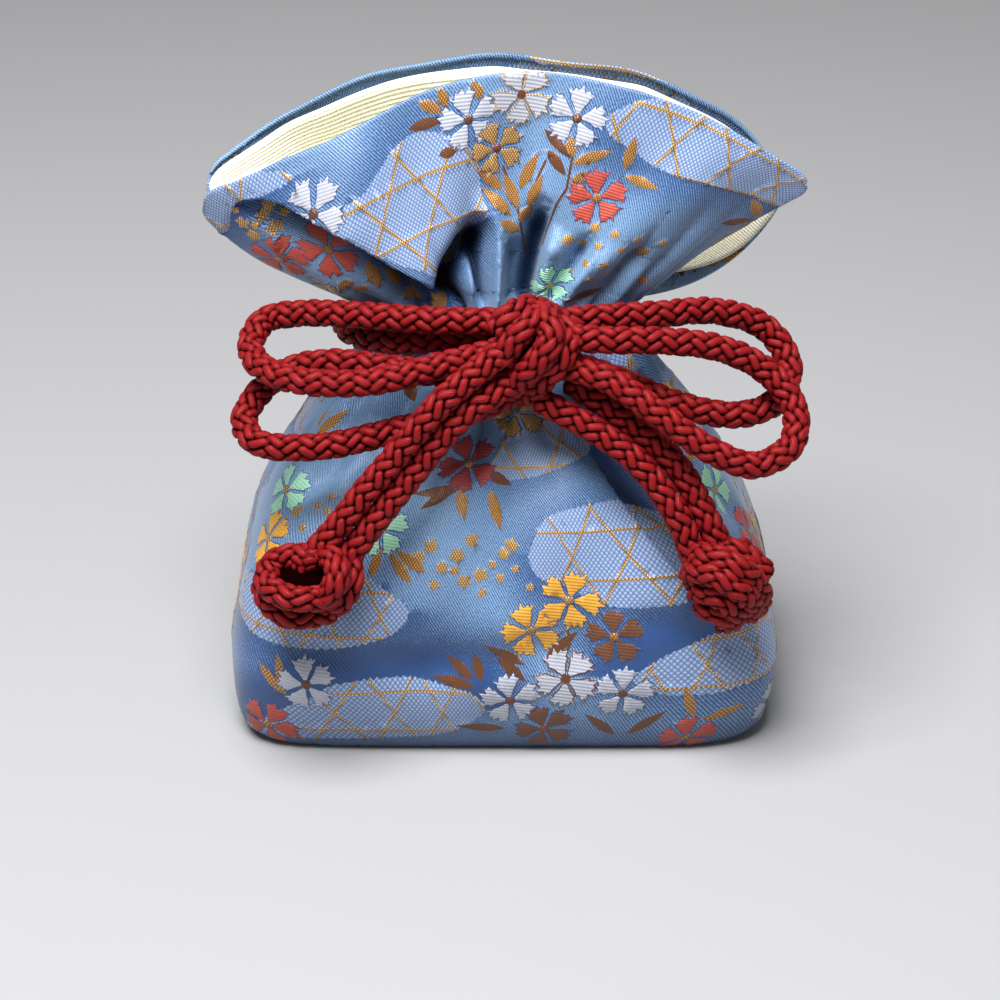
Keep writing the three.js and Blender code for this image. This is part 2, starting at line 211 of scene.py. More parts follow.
END_KNOTS = {
    "left_end_knot": ((-0.0254, -0.0282, 0.0276), (
        ((-21.4, -25.3, 31.6), (-19.6, -28.4, 31.3), (-19.1, -30.4, 29.6), (-20.0, -30.7, 27.2),
         (-22.2, -28.5, 24.3)),
        ((-23.2, -27.6, 32.2), (-21.3, -31.1, 32.5), (-20.7, -33.1, 31.3), (-21.6, -33.4, 29.3),
         (-23.6, -30.7, 26.7)),
        ((-21.0, -29.8, 27.0), (-23.4, -33.1, 28.1), (-26.2, -33.8, 28.5), (-28.8, -32.2, 28.7),
         (-30.0, -29.5, 29.3), (-29.5, -27.7, 30.3), (-27.4, -27.7, 31.5), (-24.9, -28.6, 31.9),
         (-23.2, -29.8, 31.6)),
        ((-21.6, -27.7, 23.8), (-24.4, -30.4, 24.3), (-27.2, -31.3, 24.7), (-29.5, -29.8, 25.5),
         (-30.6, -27.5, 26.6), (-30.4, -25.3, 27.7)),
        ((-22.5, -25.3, 28.6), (-24.7, -24.7, 26.3), (-27.3, -24.8, 25.7), (-29.0, -25.9, 24.4)),
        ((-20.7, -25.7, 27.5), (-22.6, -25.0, 24.3), (-24.9, -25.3, 23.1), (-27.2, -26.4, 23.1)),
    )),
    "right_end_knot": ((0.0297, -0.0266, 0.0268), (
        ((25.2, -23.9, 30.0), (27.3, -25.2, 31.6), (30.0, -26.4, 31.8), (32.3, -26.6, 30.2),
         (33.9, -25.2, 27.2)),
        ((24.5, -25.7, 29.7), (25.6, -27.9, 31.8), (27.8, -30.6, 32.7), (30.5, -31.5, 31.7),
         (32.7, -29.8, 29.0), (33.8, -27.0, 25.3), (33.3, -24.3, 22.1)),
        ((24.5, -26.6, 28.1), (25.7, -30.0, 30.5), (28.0, -32.0, 30.7), (30.6, -32.2, 29.0),
         (32.3, -29.7, 26.0), (32.6, -26.4, 22.4)),
        ((25.3, -26.8, 26.0), (26.7, -29.7, 27.4), (28.6, -31.1, 27.2), (30.2, -30.2, 25.3),
         (30.2, -27.9, 22.5), (28.6, -26.1, 21.0)),
        ((25.9, -26.6, 24.1), (27.4, -28.8, 24.4), (28.7, -29.3, 24.0), (29.8, -26.6, 21.9)),
        ((25.4, -23.2, 27.2), (28.1, -22.3, 26.3), (31.2, -21.9, 25.0), (33.1, -22.8, 23.2)),
        ((26.0, -23.9, 24.3), (28.5, -22.6, 23.0), (31.2, -22.8, 22.1)),
        ((30.2, -25.4, 32.3), (32.6, -26.4, 30.3), (34.9, -26.6, 28.0)),
    )),
}

# Camera: level with the middle of the pouch, looking down on it
VIEW_TARGET = (0.0, 0.0, 0.0266)
VIEW_DISTANCE = 0.4467
VIEW_PITCH = math.radians(25)
LENS = 117.1


def from_screen(red, green, blue):
    """A colour as a shader takes it, from the 0 to 255 values that a screen shows."""
    shares = (value / 255 for value in (red, green, blue))
    return tuple(s / 12.92 if s <= 0.04045 else ((s + 0.055) / 1.055) ** 2.4 for s in shares)


def colour_property(name, description, *screen):
    default = from_screen(*screen)
    return FloatVectorProperty(
        name=name, description=description, default=default, subtype="COLOR", min=0, max=1
    )


def length_property(name, description, metres):
    return FloatProperty(name=name, description=description, default=metres, unit="LENGTH")


def power_property(name, description, watts):
    return FloatProperty(name=name, description=description, default=watts, unit="POWER")


class SachetCloth(bpy.types.PropertyGroup):
    """Sizes and yarns of the brocade and its lining."""

    thickness: length_property("Brocade", "Thickness of the outer cloth", 0.00035)
    lining_depth: length_property("Lining depth", "Lining's distance behind the outer face", 0.0011)
    gathers: IntProperty(name="Gathers", description="Folds that the cord draws up at the neck", default=23)
    gather_depth: length_property("Gather depth", "Half the height of a gather at the neck", 0.0017)
    mesh_step: length_property("Mesh step", "Distance between the points of the plain cloth", 0.0011)
    ground: colour_property("Ground", "Satin ground of the brocade", 128, 163, 200)
    mist: colour_property("Mist", "Pale netted patches", 160, 178, 208)
    net: colour_property("Net", "Darker threads between the dots of the pale patches", 98, 124, 170)
    border: colour_property("Border", "Dark threads of the ground", 36, 72, 126)
    white: colour_property("White", "White silk yarn", 168, 171, 183)
    coral: colour_property("Coral", "Coral silk yarn", 178, 70, 56)
    ochre: colour_property("Ochre", "Ochre silk yarn", 216, 156, 50)
    brown: colour_property("Brown", "Brown silk yarn", 104, 62, 36)
    mint: colour_property("Mint", "Mint silk yarn", 150, 204, 176)
    crimson: colour_property("Crimson", "Dark red silk yarn", 150, 50, 46)
    gold: colour_property("Gold", "Gold yarn", 234, 190, 112)
    bronze: colour_property("Bronze", "Brown-gold yarn of the leaves", 208, 156, 80)
    lining: colour_property("Lining", "Cream lining", 250, 247, 224)
    packet: colour_property("Packet", "Paper of the scent packet", 232, 226, 208)


class SachetCord(bpy.types.PropertyGroup):
    """Sizes and colours of the braid."""

    diameter: length_property("Diameter", "Thickness of the braid", 0.0034)
    strands: IntProperty(name="Strands", description="Strands that wind one way round", default=6)
    pitch: length_property("Pitch", "Length of the braid from one strand to the next", 0.002)
    relief: length_property("Relief", "How far a lump stands above the creases", 0.0007)
    red: colour_property("Red", "Silk of the braid", 126, 18, 22)
    # painted shade: the creases between the strands take this dark colour
    crease: colour_property("Crease", "Shade between the strands", 16, 1, 2)


class SachetStage(bpy.types.PropertyGroup):
    """Floor and light."""

    floor: colour_property("Floor", "Plain pale floor", 160, 160, 162)
    key: power_property("Key light", "Power of the lamp overhead", 8.0)
    fill: power_property("Fill light", "Power of the lamps at the front", 0.3)
    sky: FloatProperty(name="Sky", description="Strength of the even light all round", default=0.2)


# Curves


def curve_at(knots, places):
    """Points of the centripetal curve through knots, at places from 0 to 1 that share its spans evenly."""
    knots = np.asarray(knots, float)
    line = np.vstack([2 * knots[0] - knots[1], knots, 2 * knots[-1] - knots[-2]])
    spans = len(knots) - 1
    place = np.clip(np.atleast_1d(places), 0, 1) * spans
    span = np.minimum(place.astype(int), spans - 1)
    part = (place - span)[:, None]
    p0, p1, p2, p3 = (line[span + k] for k in range(4))
    d0, d1, d2 = (np.linalg.norm(b - a, axis=1)[:, None] ** 0.5 for a, b in ((p0, p1), (p1, p2), (p2, p3)))
    lead = ((p1 - p0) / d0 - (p2 - p0) / (d0 + d1) + (p2 - p1) / d1) * d1
    trail = ((p2 - p1) / d1 - (p3 - p1) / (d1 + d2) + (p3 - p2) / d2) * d1
    square = (3 * (p2 - p1) - 2 * lead - trail) * part**2
    return p1 + lead * part + square + (2 * (p1 - p2) + lead + trail) * part**3


def even_curve(knots, step=None, places=None):
    """Points evenly along the curve through knots, a step apart or at the given shares of its length."""
    dense = curve_at(knots, np.linspace(0, 1, 60 * len(knots)))
    length = np.concatenate([[0], np.cumsum(np.linalg.norm(np.diff(dense, axis=0), axis=1))])
    if places is None:
        places = np.linspace(0, 1, max(int(round(length[-1] / step)), 2) + 1)
    at = np.asarray(places) * length[-1]
    return np.stack([np.interp(at, length, dense[:, k]) for k in range(3)], axis=-1)


def unit(vectors):
    return vectors / np.maximum(np.linalg.norm(vectors, axis=-1, keepdims=True), 1e-12)


def smoothstep(value, low, high):
    share = np.clip((value - low) / (high - low), 0, 1)
    return share * share * (3 - 2 * share)


def swells(across, forms):
    return sum(depth * np.exp(-(((across - place) / spread) ** 2)) for place, spread, depth in forms)


# Form of the cloth. u runs across a panel from its left edge, v up from the foot's edge.


def ring_points(half_width, half_depth, height, angle):
    slit_height = STATIONS[-1][2]
    below = np.maximum(1 - height / slit_height, 0) ** SQUARENESS_FALL
    power = NECK_SQUARENESS + (FOOT_SQUARENESS - NECK_SQUARENESS) * below
    x = np.abs(np.cos(angle) / half_width) ** power
    y = np.abs(np.sin(angle) / half_depth) ** power
    reach = (x + y) ** (-1 / power)
    return np.stack([reach * np.cos(angle), reach * np.sin(angle), height], axis=-1)


def angle_of(u, front):
    return np.pi * (u / PANEL + (1 if front else 0))


def across_of(u, front):
    return (2 * u / PANEL - 1) * (1 if front else -1)


def smooth_cloth(u, v, front):
    """The pouch without its folds."""
    angle = angle_of(u, front)
    station = even_curve(np.array(STATIONS) * (0.5, 0.5, 1), places=np.clip(v / BODY, 0, 1))
    body = ring_points(station[:, 0], station[:, 1], station[:, 2], angle)
    depth, middle, spread = LEFT_DRAW
    drawn = np.exp(-(((body[:, 2] - middle) / spread) ** 2))
    body[:, 0] += depth * drawn * smoothstep(-body[:, 0], *LEFT_DRAW_FROM)
    across = across_of(u, front)
    rim = even_curve(FRONT_RIM if front else BACK_RIM, places=(across + 1) / 2)
    spread, height = FRONT_BEND if front else BACK_BEND
    lifts = FRONT_LIFTS if front else BACK_LIFTS
    outwards = -1 if front else 1
    bend = np.stack(
        [
            body[:, 0] + spread * (rim[:, 0] - body[:, 0]),
            (body[:, 1] + rim[:, 1]) / 2 + outwards * swells(across, FLAP_BULGES),
            body[:, 2] + height * (rim[:, 2] - body[:, 2]) + swells(across, lifts),
        ],
        axis=-1,
    )
    up = np.clip((v - BODY) / FLAP, 0, 1)[:, None]
    flap = (1 - up) ** 2 * body + 2 * up * (1 - up) * bend + up**2 * rim
    return np.where(up > 0, flap, body)


def slopes(u, v, front, form, reach=0.0003):
    """The surface's directions along u and v, and its outward normal."""
    left, right = np.clip(u - reach, 0, PANEL), np.clip(u + reach, 0, PANEL)
    low, high = np.clip(v - reach, 0, PANEL_HEIGHT), np.clip(v + reach, 0, PANEL_HEIGHT)
    along_u = (form(right, v, front) - form(left, v, front)) / (right - left)[:, None]
    along_v = (form(u, high, front) - form(u, low, front)) / (high - low)[:, None]
    return along_u, along_v, unit(np.cross(along_u, along_v))


GATHER_START = 0.03  # on the cloth, where the gathers begin
GATHER_FULL = BODY - 0.004  # where they are full
SLACK = 0.0004  # height of the soft swells between the foot and the gathers
SLACK_START = (0.004, 0.016)  # where they begin and are full
SLACK_WAVES = ((0.031, 0.047, 0.4), (0.023, -0.029, 2.0))  # lengths across and up, and phase
SAG = (0.0165, 0.0034, 0.0007)  # soft crease across the front: place on the cloth, spread and depth

# Folds of the front, in millimetres: height, half width, and the line on the flat cloth
FOLD_LINES = (
    (-7.5, 1.7, ((54.8, 86.0), (51.0, 82.0), (46.2, 78.6), (43.4, 75.4), (42.0, 72.4), (41.0, 65.0))),
    (1.8, 1.1, ((53.6, 85.4), (50.4, 80.0), (49.0, 76.8), (48.4, 73.4), (48.0, 67.0))),
    (-5.0, 1.1, ((54.6, 86.2), (52.6, 80.0), (52.2, 76.4), (51.0, 67.0))),
    (2.6, 1.9, ((55.2, 90.0), (56.0, 82.0), (56.6, 77.6), (56.6, 73.6), (56.6, 66.0))),
    (-2.8, 1.0, ((61.2, 82.0), (60.2, 74.0), (60.2, 67.0))),
    (-5.4, 1.5, ((67.6, 89.0), (66.0, 80.0), (66.0, 74.0), (66.8, 67.0))),
    (2.2, 1.6, ((72.6, 84.0), (70.4, 75.6), (70.8, 69.0))),
    (-3.2, 1.3, ((80.0, 84.0), (77.0, 75.0), (76.5, 68.0))),
    (1.2, 1.8, ((88.0, 82.0), (82.0, 74.0), (80.5, 68.0))),
    (-1.5, 2.0, ((97.0, 82.0), (88.0, 73.0), (86.0, 67.0))),
    (-1.0, 2.6, ((26.4, 16.0), (33.2, 14.8), (43.6, 14.0), (58.0, 15.6), (69.2, 18.4))),
    (-1.0, 2.4, ((78.8, 20.0), (84.4, 20.8), (92.0, 18.0))),
    (-1.2, 2.0, ((19.6, 48.4), (20.8, 40.0), (17.2, 33.2))),
    (-1.3, 2.0, ((36.6, 54.6), (32.2, 43.2), (26.6, 37.0))),
    (-1.2, 2.0, ((92.2, 48.2), (99.6, 37.2), (106.4, 28.2))),
    (-1.1, 2.2, ((48.0, 52.0), (44.0, 45.0), (38.0, 40.0))),
)
DEEPEST = 0.007  # of all the valleys
FOLD_ENDS = ((-0.02, 0.3), (-0.1, 0.2))  # shares of a fold's line over which it rises and fades
# Lines where the cloth rolls over itself, with the further side on the right hand: the line, height and
# spread above it and below it, and how far the roll hangs over
ROLL_LINES = (
    (((5.6, 99.6), (7.6, 100.8), (10.4, 100.8), (14.0, 100.0), (17.2, 98.0), (21.6, 94.0), (26.0, 90.0),
      (31.2, 83.2), (36.0, 78.4), (40.4, 72.0)), (0.0014, 0.0034), (0.0044, 0.0062), 0.0011),
    (((90.0, 24.0), (87.6, 28.0), (85.6, 31.6), (83.2, 37.6), (81.6, 42.0), (79.0, 48.0)),
     (0.0006, 0.005), (0.0013, 0.005), 0.0003),
)
ROLL_ENDS = ((-0.05, 0.3), (-0.02, 0.14))
ROLL_EDGE = 0.0006  # half the width of the step from one side of such a line to the other
ROLL_SIDES = (-0.0016, -0.001, -0.0006, -0.0002, 0.0002, 0.0006, 0.001, 0.0016)  # lines of points along it


def even_line(line, count=48):
    """A line on the flat cloth in metres, with evenly spaced points."""
    line = np.asarray(line, float) * MM
    far = np.concatenate([[0], np.cumsum(np.linalg.norm(np.diff(line, axis=0), axis=1))])
    at = np.linspace(0, far[-1], count)
    return np.stack([np.interp(at, far, line[:, k]) for k in range(2)], axis=-1)


def from_line(u, v, points, line):
    """Each point's distance from a line on the front, its side, its place along it and the way right."""
    line = even_line(line)
    marks = smooth_cloth(line[:, 0], line[:, 1], True)
    far, side, place = np.full(len(u), 1.0), np.ones(len(u)), np.zeros(len(u))
    right = np.zeros((len(u), 2))
    low, high = line.min(axis=0) - 0.03, line.max(axis=0) + 0.03
    near = np.where((u > low[0]) & (u < high[0]) & (v > low[1]) & (v < high[1]))[0]
    if len(near):
        gaps = np.linalg.norm(points[near][:, None] - marks[None], axis=2)
        nearest = gaps.argmin(axis=1)
        far[near] = gaps.min(axis=1)
        place[near] = nearest / (len(line) - 1)
        ahead = unit(np.gradient(line, axis=0))[nearest]
        right[near] = np.stack([ahead[:, 1], -ahead[:, 0]], axis=-1)
        away = np.stack([u[near], v[near]], axis=-1) - line[nearest]
        side[near] = -np.sign(right[near, 0] * away[:, 0] + right[near, 1] * away[:, 1])
    return far, side, place, right


def faded(along, ends):
    return smoothstep(along, *ends[0]) * smoothstep(1 - along, *ends[1])


def front_folds(u, v, along_u, along_v):
    """Height of the folds that only the front has, and how far its rolled folds hang over."""
    points = smooth_cloth(u, v, True)
    across = across_of(u, True)
    place, spread, depth = SAG
    height = -depth * np.exp(-(((v - place) / spread) ** 2)) * (1 - across**2)
    for fold, width, line in FOLD_LINES:
        far, _, along, _ = from_line(u, v, points, line)
        ends = faded(along, FOLD_ENDS)
        height = height + fold * MM * ends * np.exp(-((far / (width * MM)) ** 2))
    shift = np.zeros((len(u), 3))
    for line, (out, out_reach), (back, back_reach), over in ROLL_LINES:
        far, side, along, right = from_line(u, v, points, line)
        below = smoothstep(-side * far, -ROLL_EDGE, ROLL_EDGE)
        ends = faded(along, ROLL_ENDS)
        roll = out * np.exp(-((far / out_reach) ** 2))
        hollow = back * np.exp(-((far / back_reach) ** 2))
        height = height + ends * ((1 - below) * roll - below * hollow)
        towards = unit(along_u * right[:, :1] + along_v * right[:, 1:])
        shift += towards * (ends * over * (1 - 1.4 * below) * np.exp(-((far / out_reach) ** 2)))[:, None]
    height = np.where(height < 0, DEEPEST * np.tanh(height / DEEPEST), height)
    return height, shift


def gather_height(u, v, front, cloth):
    """Height of the gathers that the cord draws up."""
    angle = angle_of(u, front)
    up = np.clip((v - BODY) / FLAP, 0, 1)
    wander = 0.7 * np.sin(2 * angle + 0.7) + 0.5 * np.sin(5 * angle + 2.1)
    crest = 2 * np.abs(np.cos(cloth.gathers * angle / 2 + wander)) - 1
    uneven = 0.72 + 0.28 * np.sin(3 * angle + 1.3)
    drawn = smoothstep(v, GATHER_START, GATHER_FULL) ** 1.4 * (1 - up) ** 2.4
    soft = sum(np.sin(2 * np.pi * (u / wide + v / high) + phase) for wide, high, phase in SLACK_WAVES)
    slack = SLACK * (1.2 + soft) * smoothstep(v, *SLACK_START) * (1 - across_of(u, front) ** 4)
    return cloth.gather_depth * uneven * drawn * crest + slack


def folded_cloth(u, v, front, cloth):
    along_u, along_v, normal = slopes(u, v, front, smooth_cloth)
    points = smooth_cloth(u, v, front) + normal * gather_height(u, v, front, cloth)[:, None]
    if front:
        height, shift = front_folds(u, v, along_u, along_v)
        points += normal * height[:, None] + shift
    return points


def round_tips(u, v):
    """The flat cloth with its two upper corners drawn in to a round."""
    for edge in (0, PANEL):
        inward = 1 if edge == 0 else -1
        a = np.clip(1 - (u - edge) * inward / CORNER, 0, 1)
        b = np.clip((v - PANEL_HEIGHT) / CORNER + 1, 0, 1)
        corner = (a > 0) & (b > 0)
        u = np.where(corner, edge + inward * CORNER * (1 - a * np.sqrt(1 - b * b / 2)), u)
        v = np.where(corner, PANEL_HEIGHT - CORNER * (1 - b * np.sqrt(1 - a * a / 2)), v)
    return u, v


def cloth_points(u, v, front, cloth):
    """Points of the sewn cloth, with its edges rolled in and its foot turned under."""
    inner_u, inner_v = np.clip(u, 0, PANEL), np.clip(v, 0, PANEL_HEIGHT)
    side, top = u - inner_u, np.maximum(v - inner_v, 0)
    past = np.abs(side) + top
    turn = np.minimum(past / ROLL, np.pi)[:, None]
    back = np.maximum(past - np.pi * ROLL, 0)
    at_u = np.clip(inner_u - np.sign(side) * back * 1.3, 0, PANEL)
    at_v = np.where(top > 0, inner_v - back, inner_v)
    at_u, at_v = round_tips(at_u, at_v)

    def form(a, b, is_front):
        return folded_cloth(a, b, is_front, cloth)

    along_u, along_v, normal = slopes(at_u, at_v, front, form)
    outward = np.where((top > 0)[:, None], unit(along_v), np.sign(side)[:, None] * unit(along_u))
    points = form(at_u, at_v, front)
    points = points + outward * ROLL * np.sin(turn) - normal * ROLL * (1 - np.cos(turn))
    under = np.minimum(v, 0)
    points[:, :2] *= (1 + under / UNDER_REACH)[:, None]
    points[:, 2] = np.where(v <= 0, 0.0, np.maximum(points[:, 2], 0.0))
    return points


# Woven pattern. Motifs are drawn in true millimetres around their own middle.

GROUND, MIST, SILK, GOLD = 0.0, 0.33, 0.66, 1.0  # kinds of weave


def turned(points, degrees):
    angle = math.radians(degrees)
    spin = np.array([[math.cos(angle), math.sin(angle)], [-math.sin(angle), math.cos(angle)]])
    return np.asarray(points) @ spin


def petal_outline(radius, grown=0.0, uneven=0.0):
    """A fringed petal that points up from the flower's middle."""
    rim = (
        (30, 0.68), (25, 0.72), (31, 0.88), (21, 0.84), (19, 0.99), (9, 0.85), (5, 1.0), (-4, 0.84),
        (-10, 0.98), (-18, 0.83), (-27, 0.92), (-24, 0.73), (-30, 0.7),
    )
    points = [(-0.05, 0.16), (0.05, 0.16), (0.17, 0.4)]
    for k, (angle, reach) in enumerate(rim):
        angle = math.radians(angle * (0.94 + 0.05 * math.sin(uneven + k)))
        reach *= 0.96 + 0.06 * math.sin(2.3 * uneven + 1.7 * k)
        points.append((reach * math.sin(angle), reach * math.cos(angle)))
    points.append((-0.17, 0.4))
    points = np.array(points) * radius
    middle = np.array([0, 0.6 * radius])
    return points + (points - middle) / np.linalg.norm(points - middle, axis=1)[:, None] * grown


def leaf_outline(length, width):
    """A slim leaf that points up from its foot."""
    share = np.linspace(0, 1, 6)
    half = width / 2 * np.sin(np.pi * share**0.85)
    right = np.stack([half, share * length], axis=-1)
    left = np.stack([-half, share * length], axis=-1)[-2:0:-1]
    return np.vstack([right, left])


def blossom_outline(radius, waist=0.6):
    """A tiny flower of five round petals."""
    angles = np.linspace(0, 2 * np.pi, 15, endpoint=False)
    reach = radius * np.tile([waist, 0.95, 0.95], 5)
    return np.stack([reach * np.cos(angles), reach * np.sin(angles)], axis=-1)


def strip_outline(points, width):
    """A thin line of yarn along points."""
    points = np.asarray(points, float)
    ahead = np.gradient(points, axis=0)
    aside = unit(np.stack([-ahead[:, 1], ahead[:, 0]], axis=-1)) * width / 2
    return np.vstack([points - aside, (points + aside)[::-1]])


def pink_shapes(radius, turn, petals, middle, lined):
    """A five-petalled pink: the dark ground around it, its petals and its middle."""
    spins = [turn + 72 * k + 4 * math.sin(turn + 2 * k) for k in range(5)]
    weave = GOLD if petals == "gold" else SILK
    shapes = [("border", GROUND, turned(petal_outline(radius, 0.16, spin), spin)) for spin in spins]
    if lined:
        shapes += [(lined, GOLD, turned(petal_outline(radius, 0.22, spin), spin)) for spin in spins]
    shapes += [(petals, weave, turned(petal_outline(radius, 0.0, spin), spin)) for spin in spins]
    return shapes + [(middle, GOLD, blossom_outline(0.15 * radius, 0.9))]


def lattice_lines(reach, pitch=6.5, width=0.34):
    """Lines in three directions that make a basket lattice of six-pointed stars."""
    lines = []
    for turn, start in ((90, 0.5), (30, 0.25), (-30, 0.25)):
        for k in range(-int(reach / pitch) - 1, int(reach / pitch) + 1):
            offset = (k + start) * pitch
            ends = [(offset, -reach), (offset, reach)]
            lines.append(turned(strip_outline(ends, width), turn))
    return lines


# Layout of a front panel, in millimetres of flat cloth: across from the left edge and up from the foot
BACK_SHIFT = np.array([49.0, -3.0])
BACK_MISTS = 8  # how many of the pale patches the back has too
PINKS = (
    # across, up, radius, turn, petals, middle, outline
    (52.0, 99.4, 4.2, 8, "white", "brown", None),
    (61.6, 101.6, 4.2, 30, "white", "brown", "gold"),
    (71.6, 99.4, 4.2, -5, "white", "brown", None),
    (57.2, 95.0, 3.8, 20, "gold", "crimson", None),
    (78.4, 89.2, 4.0, 14, "coral", "ochre", None),
    (22.0, 96.2, 4.2, 20, "white", "brown", None),
    (17.2, 86.8, 4.4, 10, "coral", "ochre", None),
    (6.8, 87.6, 4.2, 40, "coral", "ochre", None),
    (9.5, 76.5, 3.2, 12, "gold", "brown", None),
    (74.0, 72.6, 3.0, 25, "mint", "gold", None),
    (60.0, 10.0, 4.3, 8, "white", "brown", None),
    (70.2, 13.0, 4.4, 30, "white", "brown", "brown"),
    (79.2, 11.0, 4.3, -4, "white", "brown", None),
    (66.8, 5.2, 4.2, 24, "brown", "coral", None),
    (64.0, 19.8, 4.3, 20, "ochre", "gold", None),
    (71.2, 24.0, 4.4, 50, "ochre", "gold", None),
    (78.0, 19.0, 4.2, 5, "brown", "ochre", None),
    (88.4, 3.2, 4.3, 15, "coral", "ochre", None),
    (22.6, 4.8, 4.4, 40, "coral", "ochre", None),
    (28.0, 12.2, 4.2, 12, "white", "brown", None),
    (34.8, 33.4, 3.9, 10, "mint", "gold", None),
    (14.6, 35.0, 4.0, 40, "mint", "gold", None),
    (103.2, 34.6, 4.0, 22, "mint", "gold", None),
    (17.6, 29.0, 4.1, 30, "ochre", "gold", None),
    (49.6, 43.4, 4.1, 25, "crimson", "gold", None),
    (63.6, 50.8, 3.6, 15, "gold", "white", None),
    (106.5, 26.5, 4.2, 5, "coral", "ochre", None),
    (99.0, 6.0, 4.2, 28, "white", "brown", None),
    (7.0, 14.0, 4.2, 30, "ochre", "gold", None),
    (112.0, 46.0, 3.8, 12, "ochre", "gold", None),
)
LEAVES = {
    # across and up of a leaf's foot, then of its tip
    "brown": (
        (48.8, 39.6, 39.2, 38.8), (47.2, 40.0, 41.2, 36.8), (54.4, 42.0, 60.4, 40.4),
        (53.2, 12.0, 46.0, 12.8), (52.8, 12.8, 48.4, 15.6), (54.4, 12.8, 53.2, 16.2),
        (66.4, 15.2, 72.0, 19.2), (62.8, 14.8, 55.6, 17.6), (62.8, 12.8, 58.0, 15.6),
        (59.2, 5.2, 50.0, 5.6), (79.2, 4.0, 74.4, 7.4), (80.8, 4.0, 84.8, 7.8),
        (41.2, 100.8, 47.6, 100.2), (66.0, 97.5, 71.5, 94.5), (67.0, 95.0, 71.0, 92.0),
        (46.0, 96.0, 49.5, 96.0), (108.0, 86.8, 115.5, 89.2), (80.0, 70.0, 92.0, 71.0),
        (8.0, 20.0, 3.0, 24.0), (100.0, 12.0, 106.0, 15.0), (30.0, 52.0, 24.0, 55.0),
        (92.0, 52.0, 98.0, 50.0),
    ),
    "bronze": (
        (48.4, 39.6, 50.0, 35.6), (55.6, 39.6, 58.0, 34.2), (88.4, 6.8, 86.8, 11.4),
        (89.2, 6.4, 93.6, 8.2), (25.6, 10.4, 22.0, 13.6), (25.6, 10.8, 24.2, 15.2),
        (34.8, 26.8, 35.2, 31.0), (41.2, 26.4, 37.2, 30.2), (43.6, 28.0, 38.4, 30.6),
        (58.5, 89.0, 53.5, 92.5), (60.5, 85.0, 54.5, 89.5), (62.0, 86.0, 59.0, 91.0),
        (62.8, 82.4, 57.6, 84.4), (62.0, 89.0, 65.0, 94.0), (64.0, 86.5, 66.5, 91.0),
        (62.5, 84.0, 65.0, 86.6), (43.6, 103.4, 47.6, 101.2), (72.0, 93.5, 78.5, 96.0),
        (82.0, 94.0, 82.4, 98.4), (82.4, 93.2, 89.0, 92.4), (48.5, 101.6, 47.5, 104.0),
        (54.5, 101.6, 53.0, 103.8), (72.0, 94.5, 71.0, 97.0), (72.5, 90.5, 75.8, 92.8),
        (113.6, 79.6, 115.8, 87.2), (109.6, 93.8, 115.0, 90.4), (22.0, 75.5, 23.0, 82.0),
        (25.5, 74.0, 26.5, 79.5), (24.5, 71.0, 31.0, 71.5), (36.5, 67.0, 35.5, 72.0),
        (15.5, 76.0, 20.0, 77.0), (14.0, 78.0, 18.0, 79.2), (66.0, 48.0, 72.0, 50.0),
        (60.5, 48.5, 55.5, 51.0), (96.0, 24.0, 100.0, 28.0), (97.0, 23.0, 103.0, 23.0),
        (12.0, 44.0, 8.0, 48.0), (13.0, 43.0, 15.0, 48.0), (108.0, 58.0, 104.0, 62.0),
    ),
}
STEMS = (
    ((64.5, 78.5), (63.5, 81.5), (62.0, 86.0), (60.5, 89.0), (58.5, 92.5)),
    ((68.5, 80.0), (69.0, 83.0), (70.5, 87.5), (72.0, 90.0), (72.0, 95.5)),
    ((70.6, 20.0), (71.0, 17.6), (69.4, 14.6)),
    ((64.5, 86.0), (65.5, 90.5), (67.0, 93.5)),
)
BLOSSOMS = (
    # across, up
    (44.0, 31.6), (52.0, 32.4), (49.2, 30.4), (48.8, 28.4), (54.0, 27.6), (58.8, 30.4), (58.0, 27.2),
    (50.8, 26.8), (54.4, 25.2), (64.0, 26.0), (61.2, 28.4), (60.4, 31.6), (42.0, 30.0), (45.2, 26.4),
    (46.4, 28.8), (56.4, 29.0), (24.4, 36.8), (23.2, 35.2), (22.8, 32.0), (25.2, 34.8), (20.0, 33.6),
    (27.0, 32.6), (29.0, 36.6), (26.0, 30.0), (74.8, 82.0), (78.0, 81.6), (82.4, 81.6), (88.0, 81.2),
    (90.8, 83.2), (95.2, 79.6), (97.2, 82.4), (81.2, 78.2), (85.6, 78.4), (91.2, 77.0), (78.0, 75.4),
    (84.4, 75.0), (88.4, 75.4), (101.2, 72.6), (84.8, 84.0), (80.0, 84.6), (6.5, 99.6), (6.2, 97.0),
    (8.2, 95.8), (9.8, 96.6), (11.2, 97.6), (6.5, 94.2), (12.6, 95.4), (10.4, 93.8), (108.0, 8.0),
    (110.5, 10.0), (106.0, 10.6), (112.5, 6.6), (109.0, 13.0), (96.0, 41.0), (99.0, 43.0),
    (101.5, 40.5),
)
